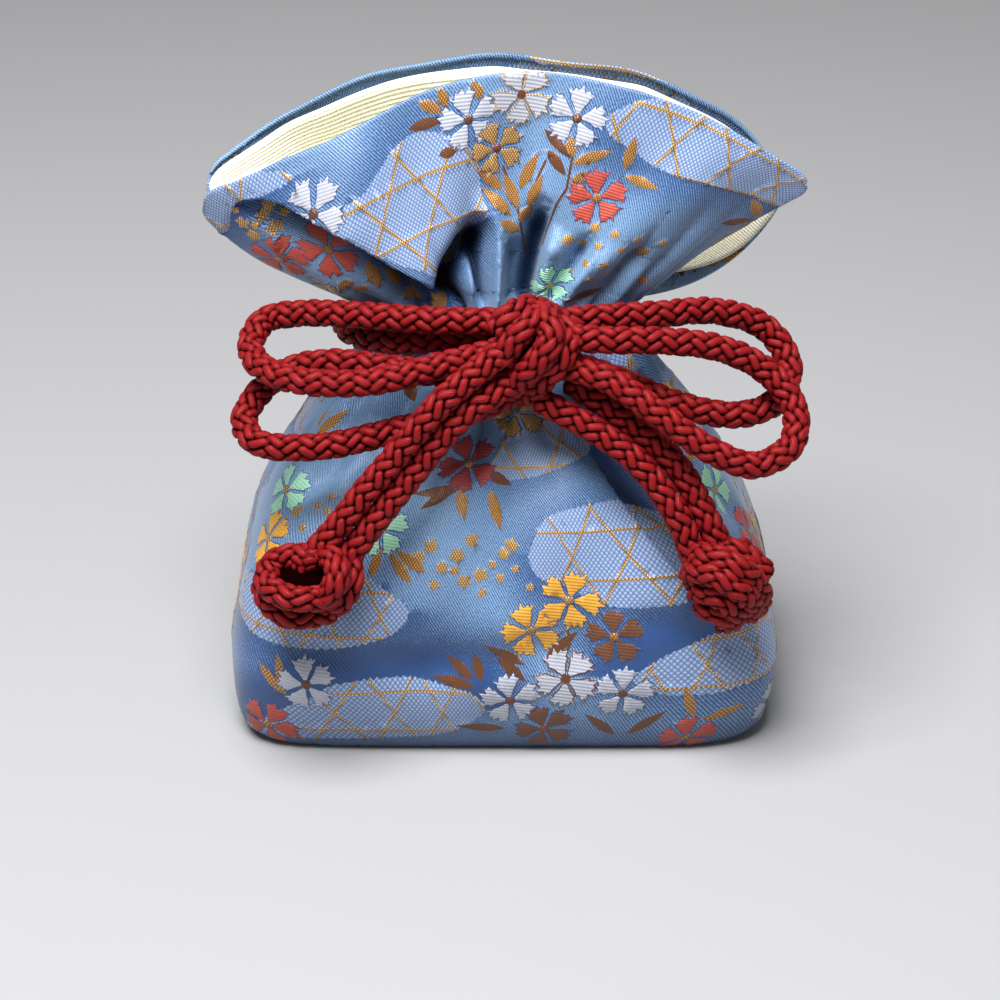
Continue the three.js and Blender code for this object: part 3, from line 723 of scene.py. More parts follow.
MISTS = (
    # outline of each pale patch, then how dark the ground is above and below it
    (((31.6, 12.4), (40.0, 12.8), (46.8, 12.0), (53.2, 10.8), (54.8, 8.4), (48.8, 4.8),
      (34.4, 3.2), (26.0, 2.8), (18.0, 2.4), (23.6, 6.8), (28.8, 10.8)), 1.0, 0.3),
    (((31.2, 26.8), (34.8, 26.8), (37.6, 25.2), (41.2, 22.8), (40.8, 20.8), (36.8, 18.4),
      (31.6, 17.2), (25.2, 16.8), (19.2, 17.2), (12.0, 19.4), (10.0, 22.0), (16.8, 24.0),
      (24.0, 26.0)), 0.15, 0.55),
    (((64.0, 30.4), (68.0, 35.2), (75.6, 36.8), (84.0, 37.2), (88.0, 36.0), (92.4, 33.0),
      (93.2, 28.4), (89.6, 23.8), (83.6, 23.0), (76.0, 23.6), (70.8, 26.0), (65.2, 27.6)), 0.3, 0.45),
    (((58.8, 46.8), (64.0, 50.4), (72.4, 52.0), (80.0, 50.4), (83.0, 46.4), (80.8, 44.4),
      (76.8, 43.2), (64.8, 41.2), (55.6, 41.6)), 0.2, 0.3),
    (((80.4, 13.2), (85.2, 16.4), (91.2, 18.4), (98.0, 19.0), (106.0, 18.4), (110.0, 15.6),
      (105.0, 12.4), (95.2, 11.4), (88.0, 10.4), (82.8, 11.2)), 1.0, 0.35),
    (((39.6, 99.8), (44.0, 99.8), (49.2, 97.4), (52.4, 95.2), (54.0, 89.6), (54.4, 85.4),
      (51.6, 81.6), (46.4, 77.6), (40.4, 78.6), (35.6, 82.2), (29.6, 86.8), (24.6, 91.6),
      (26.0, 94.8), (31.2, 95.8), (35.6, 98.4)), 0.35, 0.3),
    (((-3.0, 105.4), (5.6, 106.0), (13.2, 104.6), (18.4, 102.8), (19.6, 101.6), (14.4, 101.2),
      (9.6, 101.4), (5.4, 99.6), (2.0, 96.4), (-3.4, 96.8), (-7.4, 101.0)), 0.2, 0.5),
    (((76.4, 100.0), (80.4, 102.6), (86.0, 104.8), (98.8, 108.0), (120.0, 107.4), (123.6, 101.4),
      (119.6, 95.4), (113.6, 94.2), (108.8, 94.4), (100.8, 94.8), (96.0, 94.8), (91.6, 94.8),
      (86.8, 95.6), (82.0, 97.0), (78.0, 98.2)), 0.3, 0.42),
    (((96.0, 60.0), (104.0, 63.0), (112.0, 61.0), (110.0, 56.0), (102.0, 54.0), (95.0, 56.0)), 0.3, 0.3),
    (((4.0, 60.0), (12.0, 64.0), (22.0, 62.0), (24.0, 57.0), (14.0, 54.0), (6.0, 55.0)), 0.3, 0.3),
)


def soft_outline(points, step=0.5):
    """A rounded outline through points."""
    points = np.asarray(points, float)
    loop = np.vstack([points[-2:], points, points[:2]])
    knots = np.column_stack([loop, np.zeros(len(loop))])
    spans = len(knots) - 1
    dense = curve_at(knots, np.linspace(2 / spans, (spans - 1) / spans, 16 * len(points)))[:, :2]
    far = np.concatenate([[0], np.cumsum(np.linalg.norm(np.diff(dense, axis=0), axis=1))])
    at = np.arange(0, far[-1] - step / 2, step)
    return np.stack([np.interp(at, far, dense[:, k]) for k in range(2)], axis=-1)


def ragged(points, amount):
    """An outline whose points step in and out with the threads."""
    k = np.arange(len(points))
    shift = np.stack([np.sin(12.9898 * k), np.sin(78.233 * k + 1.3)], axis=-1)
    return points + amount * shift


def on_panel(places, front):
    """Where places of the layout fall on a panel: the back was cut from further along the cloth."""
    places = np.atleast_2d(np.asarray(places, float))
    if front:
        return [places]
    wide = PANEL / MM
    spots = [places + BACK_SHIFT, places + BACK_SHIFT - (wide, 0)]
    return [s for s in spots if -6 < s[:, 0].max() and s[:, 0].min() < wide + 6 and s[:, 1].max() > -6]


def panel_shapes(front):
    """Yarn, weave, outline in flat metres and patch of every shape, with the later over the earlier."""
    shapes = []

    def true_scale(place):
        u = np.clip(np.atleast_1d(place[0] * MM), 0.001, PANEL - 0.001)
        v = np.clip(np.atleast_1d(place[1] * MM), 0.001, PANEL_HEIGHT - 0.001)
        along_u, along_v, _ = slopes(u, v, front, smooth_cloth)
        return np.clip([np.linalg.norm(along_u), np.linalg.norm(along_v)], 0.3, 1.4)

    def add(yarn, weave, outline, place, patch=None):
        shapes.append((yarn, weave, (outline / true_scale(place) + place) * MM, patch))

    for patch, (outline, _, _) in enumerate(MISTS if front else MISTS[:BACK_MISTS]):
        for spot in on_panel(outline, front):
            shapes.append(("mist", MIST, ragged(soft_outline(spot), 0.22) * MM, patch))
            middle = spot.mean(axis=0)
            reach = np.linalg.norm(np.ptp(spot, axis=0)) / 2 + 2
            for line in lattice_lines(reach):
                add("gold", GOLD, line, middle, patch)
    for stem in STEMS:
        for spot in on_panel(stem, front):
            shapes.append(("brown", GOLD, strip_outline(spot, 0.5) * MM, None))
    for spot in BLOSSOMS:
        for place in on_panel(spot, front):
            size = 0.85 + 0.25 * math.sin(7 * spot[0] + 3 * spot[1])
            add("gold", GOLD, turned(blossom_outline(size), 40 * spot[0]), place[0])
    for yarn, places in LEAVES.items():
        for leaf in places:
            for foot, tip in on_panel(np.reshape(leaf, (2, 2)), front):
                along = (tip - foot) * true_scale(foot)
                outline = leaf_outline(1.1 * np.linalg.norm(along), 1.5)
                add(yarn, GOLD, turned(outline, math.degrees(math.atan2(-along[0], along[1]))), foot)
    for across, up, *pink in PINKS:
        for place in on_panel((across, up), front):
            for yarn, weave, outline in pink_shapes(*pink):
                add(yarn, weave, outline, place[0])
    return shapes


# Painted shade on the yarn, and the woven darkening of the ground beside the pale patches: how strong, and
# the depths or distances over which they come and go
# painted shade: the ground grows darker towards the foot
FOOT_PAINTED_SHADE = (0.4, 0.012)
# painted shade in the deep valleys of the folds
VALLEY_PAINTED_SHADE = (0.6, 0.0012, 0.0045)
# painted shadow on the further side of the rolled folds
ROLL_PAINTED_SHADOW = (0.8, 0.0042)
MIST_DUSK = (7.5, 18)  # in millimetres, with how far it is looked for
# painted shade on all yarn in the tight pleats
PLEAT_PAINTED_SHADE = (0.001, 0.0042)


def shades_on(flat, front, cloth):
    """How far the ground is darkened, by painted shade near the foot, in the fold valleys and under the
    rolled folds and by a woven gradient beside the pale patches, and all yarn by painted shade in the tight
    pleats.
    """
    u, v = np.clip(flat[:, 0], 0, PANEL), np.clip(flat[:, 1], 0, PANEL_HEIGHT)
    # painted shade: the ground darker towards the foot
    weave_gradient_and_painted_shade = FOOT_PAINTED_SHADE[0] * smoothstep(-v, -FOOT_PAINTED_SHADE[1], 0)
    pleats = np.zeros(len(flat))
    if front:
        along_u, along_v, _ = slopes(u, v, front, smooth_cloth)
        depth = -front_folds(u, v, along_u, along_v)[0]
        # painted shade in the deep fold valleys
        weave_gradient_and_painted_shade = np.maximum(weave_gradient_and_painted_shade, VALLEY_PAINTED_SHADE[0] * smoothstep(depth, *VALLEY_PAINTED_SHADE[1:]))
        # painted shade in the tight pleats
        pleats = smoothstep(depth - gather_height(u, v, front, cloth), *PLEAT_PAINTED_SHADE)
        # painted shadow beside the rolled folds, on their further side
        for line, *_ in ROLL_LINES:
            far, side, _, _ = from_line(u, v, smooth_cloth(u, v, front), line)
            weave_gradient_and_painted_shade = np.maximum(weave_gradient_and_painted_shade, ROLL_PAINTED_SHADOW[0] * (side < 0) * np.exp(-((far / ROLL_PAINTED_SHADOW[1]) ** 2)))
    # woven darkening of the ground above and below the pale patches
    for outline, above, below in MISTS if front else MISTS[:BACK_MISTS]:
        for spot in on_panel(outline, front):
            near = tree_of(spaced_outline(spot, 1.0))
            for k, p in enumerate(flat / MM):
                found, _, far = near.find((*p, 0))
                if far < MIST_DUSK[1]:
                    strength = above if p[1] > found[1] else below
                    weave_gradient_and_painted_shade[k] = max(weave_gradient_and_painted_shade[k], strength * math.exp(-((far / MIST_DUSK[0]) ** 1.4)))
    return weave_gradient_and_painted_shade, pleats


def panel_outline():
    """A panel's edge with its turnings, in flat metres."""
    right = np.array([
        (PANEL, -UNDER), (PANEL + TURNED, -UNDER + TURNED), (PANEL + TURNED, BODY - TURNED_SIDE),
        (PANEL + TURNED_SIDE, BODY), (PANEL + TURNED_SIDE, BODY + 0.012),
        (PANEL + TURNED, BODY + 0.024), (PANEL + TURNED, PANEL_HEIGHT - TURNED),
        (PANEL, PANEL_HEIGHT), (PANEL - TURNED, PANEL_HEIGHT + TURNED),
    ])
    left = right[::-1] * (-1, 1) + (PANEL, 0)
    return np.vstack([right, left])


def spaced_outline(points, step):
    """An outline with points no further apart than a step."""
    spaced = []
    for a, b in zip(points, np.roll(points, -1, axis=0)):
        count = max(int(math.ceil(np.linalg.norm(b - a) / step)), 1)
        spaced += [a + (b - a) * k / count for k in range(count)]
    return np.array(spaced)


def tree_of(points):
    """Flat points, sorted for finding the nearest."""
    near = KDTree(len(points))
    for k, p in enumerate(points):
        near.insert((*p, 0), k)
    near.balance()
    return near


def in_outline(points, outline):
    """Which points lie inside an outline."""
    inside = np.zeros(len(points), bool)
    for a, b in zip(outline, np.roll(outline, -1, axis=0)):
        crosses = (a[1] > points[:, 1]) != (b[1] > points[:, 1])
        rise = b[1] - a[1] if b[1] != a[1] else 1e-12
        at = a[0] + (points[:, 1] - a[1]) * (b[0] - a[0]) / rise
        inside ^= crosses & (points[:, 0] < at)
    return inside


PLEATED = np.array([(0.03, BODY), (0.1, 0.09)])  # corners of the area whose pleats need a finer mesh


def flat_grid(low, high, step):
    return np.stack(np.meshgrid(*(np.arange(a, b, step) for a, b in zip(low, high))), axis=-1)


def woven_panel(front, cloth):
    """A panel's flat mesh: points, triangles, and each triangle's yarn and weave."""
    step = cloth.mesh_step
    edge = spaced_outline(panel_outline(), step)
    outlines = [edge]
    kinds = [("ground", GROUND, None)]
    low, high = edge.min(axis=0), edge.max(axis=0)
    for yarn, weave, outline, patch in panel_shapes(front):
        if (outline.max(axis=0) < low).any() or (outline.min(axis=0) > high).any():
            continue
        ahead = np.roll(outline, -1, axis=0)
        if (outline[:, 0] * ahead[:, 1] - outline[:, 1] * ahead[:, 0]).sum() < 0:
            outline = outline[::-1]
        outlines.append(spaced_outline(outline, 1.5 * step))
        kinds.append((yarn, weave, patch))
    points = np.vstack(outlines)
    starts = np.cumsum([0] + [len(o) for o in outlines])
    faces = [list(range(a, b)) for a, b in zip(starts[:-1], starts[1:])]
    grid = flat_grid(low, high, step)
    grid[1::2, :, 0] += step / 2
    grid = grid.reshape(-1, 2)
    if front:
        pleated = (grid >= PLEATED[0]).all(axis=1) & (grid <= PLEATED[1]).all(axis=1)
        grid = np.vstack([grid[~pleated], flat_grid(*PLEATED, step / 2).reshape(-1, 2)])
    grid = grid[in_outline(grid, panel_outline())]
    rim = ROLL_ROWS[0]
    grid = grid[(grid[:, 0] > rim) & (grid[:, 0] < PANEL - rim) & (grid[:, 1] < PANEL_HEIGHT - rim)]
    near = tree_of(points)
    clear = [near.find((*p, 0))[2] > 0.25 * step for p in grid]
    points = np.vstack([points, grid[clear]])
    edges = []

    def add_line(line):
        nonlocal points
        edges.extend((len(points) + k, len(points) + k + 1) for k in range(len(line) - 1))
        points = np.vstack([points, line])

    for row in ROLL_ROWS:
        across = np.linspace(0, PANEL, int(PANEL / step) + 1)
        add_line(np.stack([across, np.full(len(across), PANEL_HEIGHT + row)], axis=-1))
        up = np.linspace(0, PANEL_HEIGHT, int(PANEL_HEIGHT / step) + 1)
        for edge_line in (-row, PANEL + row):
            add_line(np.stack([np.full(len(up), edge_line), up], axis=-1))
    for knots, *_ in ROLL_LINES if front else ():
        line = even_line(knots, 60)
        ahead = unit(np.gradient(line, axis=0))
        aside = np.stack([-ahead[:, 1], ahead[:, 0]], axis=-1)
        for shift in ROLL_SIDES:
            add_line(line + aside * shift)
    scale = 1000  # flat millimetres keep the triangulation's tolerance meaningful
    made = delaunay_2d_cdt([Vector(p * scale) for p in points], edges, faces, 0, 1e-4)
    flat = np.array([tuple(p) for p in made[0]]) / scale
    triangles, looks = [], []
    for triangle, parents in zip(made[2], made[5]):
        if 0 not in parents:
            continue
        patches = {kinds[k][2] for k in parents if kinds[k][1] == MIST}
        shown = [k for k in parents if kinds[k][1] != GOLD or kinds[k][2] is None or kinds[k][2] in patches]
        triangles.append(triangle)
        looks.append(max(shown))
    return flat, np.array(triangles), [kinds[k] for k in looks]


# Meshes


def new_object(name, points, faces, material, smooth=True):
    mesh = bpy.data.meshes.new(name)
    mesh.from_pydata([tuple(p) for p in points], [], [tuple(int(i) for i in f) for f in faces])
    mesh.update()
    if smooth:
        mesh.polygons.foreach_set("use_smooth", np.ones(len(mesh.polygons), bool))
    mesh.materials.append(material)
    piece = bpy.data.objects.new(name, mesh)
    bpy.context.scene.collection.objects.link(piece)
    return piece


def select_only(*pieces):
    for other in bpy.context.view_layer.objects:
        other.select_set(False)
    for piece in pieces:
        piece.select_set(True)
    bpy.context.view_layer.objects.active = pieces[0]


def apply_modifier(piece, kind, **settings):
    modifier = piece.modifiers.new(kind.title(), kind)
    for key, value in settings.items():
        setattr(modifier, key, value)
    select_only(piece)
    bpy.ops.object.modifier_apply(modifier=modifier.name)


def joined(name, pieces):
    select_only(*pieces)
    if len(pieces) > 1:
        bpy.ops.object.join()
    whole = bpy.context.view_layer.objects.active
    whole.name = whole.data.name = name
    return whole


def set_uv(mesh, uv):
    """A map named Cloth, in centimetres of flat cloth."""
    layer = mesh.uv_layers.new(name="Cloth")
    corners = np.empty(len(mesh.loops), int)
    mesh.loops.foreach_get("vertex_index", corners)
    layer.data.foreach_set("uv", (np.asarray(uv)[corners] * 100).ravel())


def set_attribute(mesh, name, kind, domain, values):
    layer = mesh.attributes.new(name, kind, domain)
    field = "color" if kind == "FLOAT_COLOR" else "value"
    layer.data.foreach_set(field, np.asarray(values, np.float32).ravel())


def cloth_panel(name, front, cloth, material):
    flat, triangles, looks = woven_panel(front, cloth)
    used, renumbered = np.unique(triangles, return_inverse=True)
    flat, triangles = flat[used], renumbered.reshape(-1, 3)
    points = cloth_points(flat[:, 0], flat[:, 1], front, cloth)
    u, v = np.clip(flat[:, 0], 0, PANEL), np.clip(flat[:, 1], 0, PANEL_HEIGHT)
    normal = slopes(u, v, front, smooth_cloth)[2]
    weaves = np.array([weave for _, weave, _ in looks])
    raised = np.zeros(len(flat))
    count = np.zeros(len(flat))
    for k in range(3):
        np.add.at(raised, triangles[:, k], weaves >= SILK)
        np.add.at(count, triangles[:, k], 1)
    inside = (flat[:, 0] >= 0) & (flat[:, 0] <= PANEL) & (flat[:, 1] > 0) & (flat[:, 1] < PANEL_HEIGHT)
    points += normal * (RAISED * (raised / count) * inside)[:, None]
    piece = new_object(name, points, triangles, material)
    set_uv(piece.data, flat)
    colours = [(*getattr(cloth, yarn), 1) for yarn, _, _ in looks]
    set_attribute(piece.data, "yarn", "FLOAT_COLOR", "FACE", colours)
    set_attribute(piece.data, "weave", "FLOAT", "FACE", weaves)
    # the ground's painted shade with its woven darkening, and the pleats' painted shade, go on as point
    # attributes
    for shade, values in zip(("weave_gradient_and_painted_shade", "pleats"), shades_on(flat, front, cloth)):
        set_attribute(piece.data, shade, "FLOAT", "POINT", values)
    return piece


def foot_panel(name, material, cloth):
    """The flat foot inside the turned-under edges."""
    around, rings = 120, 12
    angle = np.linspace(0, 2 * np.pi, around, endpoint=False)
    half = np.array(STATIONS[0]) / 2
    edge = ring_points(half[0] * np.ones(around), half[1] * np.ones(around), np.zeros(around), angle)
    points = [np.array([[0, 0, 0.0003]])]
    points += [edge * (0.97 * r / rings) + (0, 0, 0.0003) for r in range(1, rings + 1)]
    faces = [(0, 1 + (k + 1) % around, 1 + k) for k in range(around)]
    for r in range(rings - 1):
        a, b = 1 + r * around, 1 + (r + 1) * around
        faces += [(a + k, a + (k + 1) % around, b + (k + 1) % around, b + k) for k in range(around)]
    points = np.vstack(points)
    piece = new_object(name, points, faces, material)
    set_uv(piece.data, points[:, :2])
    set_attribute(piece.data, "yarn", "FLOAT_COLOR", "FACE", [(*cloth.ground, 1)] * len(faces))
    set_attribute(piece.data, "weave", "FLOAT", "FACE", np.zeros(len(faces)))
    # painted shade: the foot's ground is darkened evenly
    set_attribute(piece.data, "weave_gradient_and_painted_shade", "FLOAT", "POINT", np.full(len(points), 0.3))
    set_attribute(piece.data, "pleats", "FLOAT", "POINT", np.zeros(len(points)))
    return piece


def lowest_near(heights, reach):
    """The lowest height within a reach of cells, smoothed."""
    for pick, far in ((np.min, reach), (np.mean, 1)):
        for axis in (0, 1):
            padded = np.pad(heights, [(far, far) if k == axis else (0, 0) for k in (0, 1)], mode="edge")
            cells = heights.shape[axis]
            spans = [np.take(padded, range(k, k + cells), axis=axis) for k in range(2 * far + 1)]
            heights = pick(spans, axis=0)
    return heights


def lining_panel(name, front, cloth, material):
    """The lining behind a panel, from the foot's edge to under the turned rim."""
    columns = np.linspace(0, PANEL, int(PANEL / LINING_STEP) + 1)
    low, high = LINING_EDGES[0], PANEL_HEIGHT - LINING_EDGES[1]
    rows = np.linspace(low, high, int(PANEL_HEIGHT / LINING_STEP) + 1)
    u, v = (grid.ravel() for grid in np.meshgrid(columns, rows))
    u, v = round_tips(u, v)
    along_u, along_v, normal = slopes(u, v, front, smooth_cloth)
    height = gather_height(u, v, front, cloth)
    if front:
        height = height + front_folds(u, v, along_u, along_v)[0]
    wide = len(columns)
    lowest = lowest_near(height.reshape(-1, wide), 4).ravel()
    points = smooth_cloth(u, v, front) + normal * (lowest - cloth.lining_depth)[:, None]
    points[:, 2] = np.maximum(points[:, 2], LINING_FLOOR)
    corner = (np.arange(len(rows) - 1)[:, None] * wide + np.arange(wide - 1)).ravel()
    faces = np.stack([corner, corner + 1, corner + wide + 1, corner + wide], axis=-1)
    room, up_to = LINING_ROOM
    crowded = (height - lowest > room) & (v < up_to)
    faces = faces[~crowded[faces].all(axis=1)]
    used, renumbered = np.unique(faces, return_inverse=True)
    piece = new_object(name, points[used], renumbered.reshape(-1, 4), material)
    set_uv(piece.data, np.stack([u, v], axis=-1)[used])
    return piece


BRAID_STEP = 0.00025  # along the braid from one ring of points to the next
BRAID_SIDES = 48


def frames_along(path):
    """Directions across a path that turn with it and don't twist."""
    ahead = np.roll(path, -1, axis=0) - np.roll(path, 1, axis=0)
    ahead[0], ahead[-1] = path[1] - path[0], path[-1] - path[-2]
    ahead = unit(ahead)
    start = np.cross(ahead[0], (0.0, 0.0, 1.0))
    if np.linalg.norm(start) < 0.1:
        start = np.cross(ahead[0], (1.0, 0.0, 0.0))
    sides = [unit(start)]
    for direction in ahead[1:]:
        sides.append(unit(sides[-1] - direction * np.dot(sides[-1], direction)))
    sides = np.array(sides)
    return sides, np.cross(ahead, sides)


def braid_height(around, along, cord):
    """Height of the braid from 0 in a crease to 1 on a lump, and the place across the strand on top."""
    p = cord.strands * around + along / cord.pitch
    q = cord.strands * around - along / cord.pitch
    i, j = np.floor(p), np.floor(q)
    step = (i - j) % 4
    on_top = step < 2
    across = 2 * np.where(on_top, p - i, q - j) - 1
    run = np.where(on_top, q - j, p - i) + np.isin(step, (0, 3)) - 1
    return np.maximum(1 - np.abs(across) ** 3.2 - 0.85 * np.abs(run) ** 5, 0) ** 0.6, across


def braided_tube(name, path, cord, material, girth=1.0, start=0.0):
    """A round braid along a path, with round ends."""
    sides, rings = BRAID_SIDES, len(path)
    radius = girth * cord.diameter / 2 - cord.relief * 0.8
    across, upright = (way[:, None, :] for way in frames_along(path))
    steps = np.linalg.norm(np.diff(path, axis=0), axis=1)
    along = start + np.concatenate([[0], np.cumsum(steps)])
    share = np.arange(sides) / sides
    height, thread = braid_height(share[None, :], along[:, None], cord)
    ends = np.minimum(np.arange(rings), np.arange(rings)[::-1]) / 4
    reach = (radius + cord.relief * height) * np.sqrt(np.clip(0.25 + ends, 0, 1))[:, None]
    turn = 2 * np.pi * share[None, :, None]
    ring = across * np.cos(turn) + upright * np.sin(turn)
    points = (path[:, None, :] + ring * reach[:, :, None]).reshape(-1, 3)
    faces = []
    for a in range(0, (rings - 1) * sides, sides):
        b = a + sides
        faces += [(a + k, a + (k + 1) % sides, b + (k + 1) % sides, b + k) for k in range(sides)]
    faces.append(tuple(range(sides))[::-1])
    faces.append(tuple((rings - 1) * sides + k for k in range(sides)))
    piece = new_object(name, points, faces, material)
    set_attribute(piece.data, "lump", "FLOAT", "POINT", height.ravel())
    set_attribute(piece.data, "thread", "FLOAT", "POINT", thread.ravel())
    return piece


# Materials


class Tree:
    """A node tree that is built a node at a time."""

    def __init__(self, tree):
        self.tree = tree

    def add(self, kind, inputs=None, **settings):
        node = self.tree.nodes.new(kind)
        for key, value in settings.items():
            setattr(node, key, value)
        for key, value in (inputs or {}).items():
            self.feed(node.inputs[key], value)
        return node

    def feed(self, socket, value):
        if isinstance(value, bpy.types.NodeSocket):
            self.tree.links.new(value, socket)
        else:
            socket.default_value = value

    def math(self, operation, *values):
        return self.add("ShaderNodeMath", dict(enumerate(values)), operation=operation).outputs[0]

    def mix(self, factor, a, b, blend="MIX"):
        inputs = {0: factor, 6: a, 7: b}
        return self.add("ShaderNodeMix", inputs, data_type="RGBA", blend_type=blend).outputs[2]

    def blend(self, factor, a, b):
        return self.add("ShaderNodeMix", {0: factor, 2: a, 3: b}, data_type="FLOAT").outputs[0]

    def ramp(self, value, low, high):
        inputs = {"Value": value, "From Min": low, "From Max": high}
        return self.add("ShaderNodeMapRange", inputs, interpolation_type="SMOOTHSTEP").outputs[0]

    def times(self, *values):
        product = values[0]
        for value in values[1:]:
            product = self.math("MULTIPLY", product, value)
        return product

    def dim(self, colour, shade):
        """A colour times a shade."""
        grey = self.add("ShaderNodeCombineColor", {0: shade, 1: shade, 2: shade}).outputs[0]
        return self.mix(1.0, colour, grey, "MULTIPLY")

    def attribute(self, name, output="Fac"):
        return self.add("ShaderNodeAttribute", attribute_name=name).outputs[output]

    def bump(self, shader, height, strength, distance):
        inputs = {"Height": height, "Strength": strength, "Distance": distance}
        self.feed(shader.inputs["Normal"], self.add("ShaderNodeBump", inputs).outputs["Normal"])

    def noise(self, vector, scale, detail=2.0, roughness=0.5):
        inputs = {"Vector": vector, "Scale": scale, "Detail": detail, "Roughness": roughness}
        return self.add("ShaderNodeTexNoise", inputs).outputs["Fac"]

    def stripes(self, vector, direction):
        """A wave from 0 to 1, with direction giving the waves in a unit of each axis."""
        turns = tuple(2 * math.pi * d for d in direction)
        dot = self.add("ShaderNodeVectorMath", {0: vector, 1: turns}, operation="DOT_PRODUCT")
        return self.math("MULTIPLY_ADD", self.math("SINE", dot.outputs["Value"]), 0.5, 0.5)

    def checks(self, vector, across, up):
        """Dots where two slanting waves cross."""
        slants = [self.stripes(vector, (across, slant, 0.0)) for slant in (up, -up)]
        return self.times(*slants)


def new_material(name):
    material = bpy.data.materials.new(name)
    material.use_nodes = True
    tree = Tree(material.node_tree)
    shader = material.node_tree.nodes["Principled BSDF"]
    return material, tree, shader


def cloth_map(tree):
    return tree.add("ShaderNodeUVMap", uv_map="Cloth").outputs["UV"]


def yarn_group():
    """A group that breaks up a weave: uneven yarn from a fine and a broad noise over the coordinates it is
    given.
    """
    name = "Uneven yarn"
    if name in bpy.data.node_groups:
        return bpy.data.node_groups[name]
    group = bpy.data.node_groups.new(name, "ShaderNodeTree")
    face = group.interface
    face.new_socket("Vector", in_out="INPUT", socket_type="NodeSocketVector")
    for label, value in (("Fine", 40.0), ("Broad", 3.0), ("Amount", 0.5)):
        face.new_socket(label, in_out="INPUT", socket_type="NodeSocketFloat").default_value = value
    face.new_socket("Shade", in_out="OUTPUT", socket_type="NodeSocketFloat")
    tree = Tree(group)
    source = tree.add("NodeGroupInput").outputs
    fine = tree.noise(source["Vector"], source["Fine"], 2.0, 0.6)
    broad = tree.noise(source["Vector"], source["Broad"], 3.0, 0.5)
    both = tree.math("ADD", tree.times(fine, 0.7), tree.times(broad, 0.3))
    centred = tree.times(tree.math("SUBTRACT", both, 0.5), source["Amount"])
    tree.add("NodeGroupOutput", {"Shade": tree.math("ADD", 1.0, centred)})
    return group


def uneven_yarn(tree, vector, fine, broad, amount):
    node = tree.add("ShaderNodeGroup", node_tree=yarn_group())
    for key, value in (("Vector", vector), ("Fine", fine), ("Broad", broad), ("Amount", amount)):
        tree.feed(node.inputs[key], value)
    return node.outputs["Shade"]


def brocade_material(cloth):
    material, tree, shader = new_material("blue brocade")
    uv = cloth_map(tree)
    yarn = tree.attribute("yarn", "Color")
    weave, weave_gradient_and_painted_shade, pleats = (tree.attribute(name) for name in ("weave", "weave_gradient_and_painted_shade", "pleats"))
    kinds = (tree.math("COMPARE", weave, kind, 0.1) for kind in (GROUND, MIST, SILK, GOLD))
    is_ground, is_mist, is_silk, is_gold = kinds
    twill = tree.stripes(uv, (19.0, 15.0, 0.0))
    net = tree.checks(uv, 13.0, 12.0)
    floats = tree.stripes(uv, (2.0, 22.0, 0.0))
    dots = tree.checks(uv, 19.0, 16.0)
    relief = tree.blend(is_mist, twill, net)
    relief = tree.blend(is_silk, relief, floats)
    relief = tree.blend(is_gold, relief, dots)
    shade = uneven_yarn(tree, uv, 45.0, 1.1, 0.9)
    threads = tree.math("MULTIPLY_ADD", twill, 0.36, tree.times(tree.noise(uv, 34.0, 2.0, 0.65), 0.85))
    # painted shade and the woven darkening shift the ground's twill towards its dark threads
    low = tree.math("MULTIPLY_ADD", weave_gradient_and_painted_shade, 0.9, 0.12)
    lit = tree.ramp(threads, low, tree.math("ADD", low, 0.62))
    satin = tree.mix(lit, (*cloth.border, 1), yarn)
    netted = tree.mix(tree.ramp(net, 0.0, 0.42), (*cloth.net, 1), yarn)
    gilt = tree.mix(tree.ramp(dots, 0.14, 0.5), tree.mix(0.16, (*cloth.brown, 1), yarn), yarn)
    shaded = tree.mix(is_ground, yarn, satin)
    shaded = tree.mix(is_mist, shaded, netted)
    shaded = tree.mix(is_gold, shaded, gilt)
    height = tree.add("ShaderNodeSeparateXYZ", {0: uv}).outputs["Y"]
    tone = tree.times(
        shade,
        tree.math("MULTIPLY_ADD", tree.times(floats, is_silk), 0.14, 0.9),
        # painted shade: all yarn darker towards the foot
        tree.blend(tree.ramp(height, 0.0, 1.4), 0.72, 1.0),
        # painted shade on all yarn in the tight pleats
        tree.blend(pleats, 1.0, 0.14),
    )
    tree.feed(shader.inputs["Base Color"], tree.dim(shaded, tone))
    tree.feed(shader.inputs["Roughness"], tree.blend(is_silk, tree.blend(is_gold, 0.42, 0.36), 0.55))
    tree.feed(shader.inputs["Metallic"], tree.times(is_gold, 0.2))
    tree.bump(shader, relief, 0.4, 0.00012)
    shader.inputs["Sheen Weight"].default_value = 0.12
    shader.inputs["Sheen Roughness"].default_value = 0.4
    # less shine where the pleats are painted in shade
    tree.feed(shader.inputs["Specular IOR Level"], tree.blend(pleats, 0.5, 0.1))
    return material


def lining_material(colour):
    material, tree, shader = new_material("cream lining")
    uv = cloth_map(tree)
    rib = tree.stripes(uv, (0.0, 18.0, 0.0))
    shade = uneven_yarn(tree, uv, 30.0, 1.5, 0.16)
    tone = tree.times(shade, tree.math("MULTIPLY_ADD", rib, 0.16, 0.84))
    tree.feed(shader.inputs["Base Color"], tree.dim((*colour, 1), tone))
    tree.bump(shader, rib, 0.5, 0.00015)
    shader.inputs["Roughness"].default_value = 0.62
    shader.inputs["Sheen Weight"].default_value = 0.1
    return material


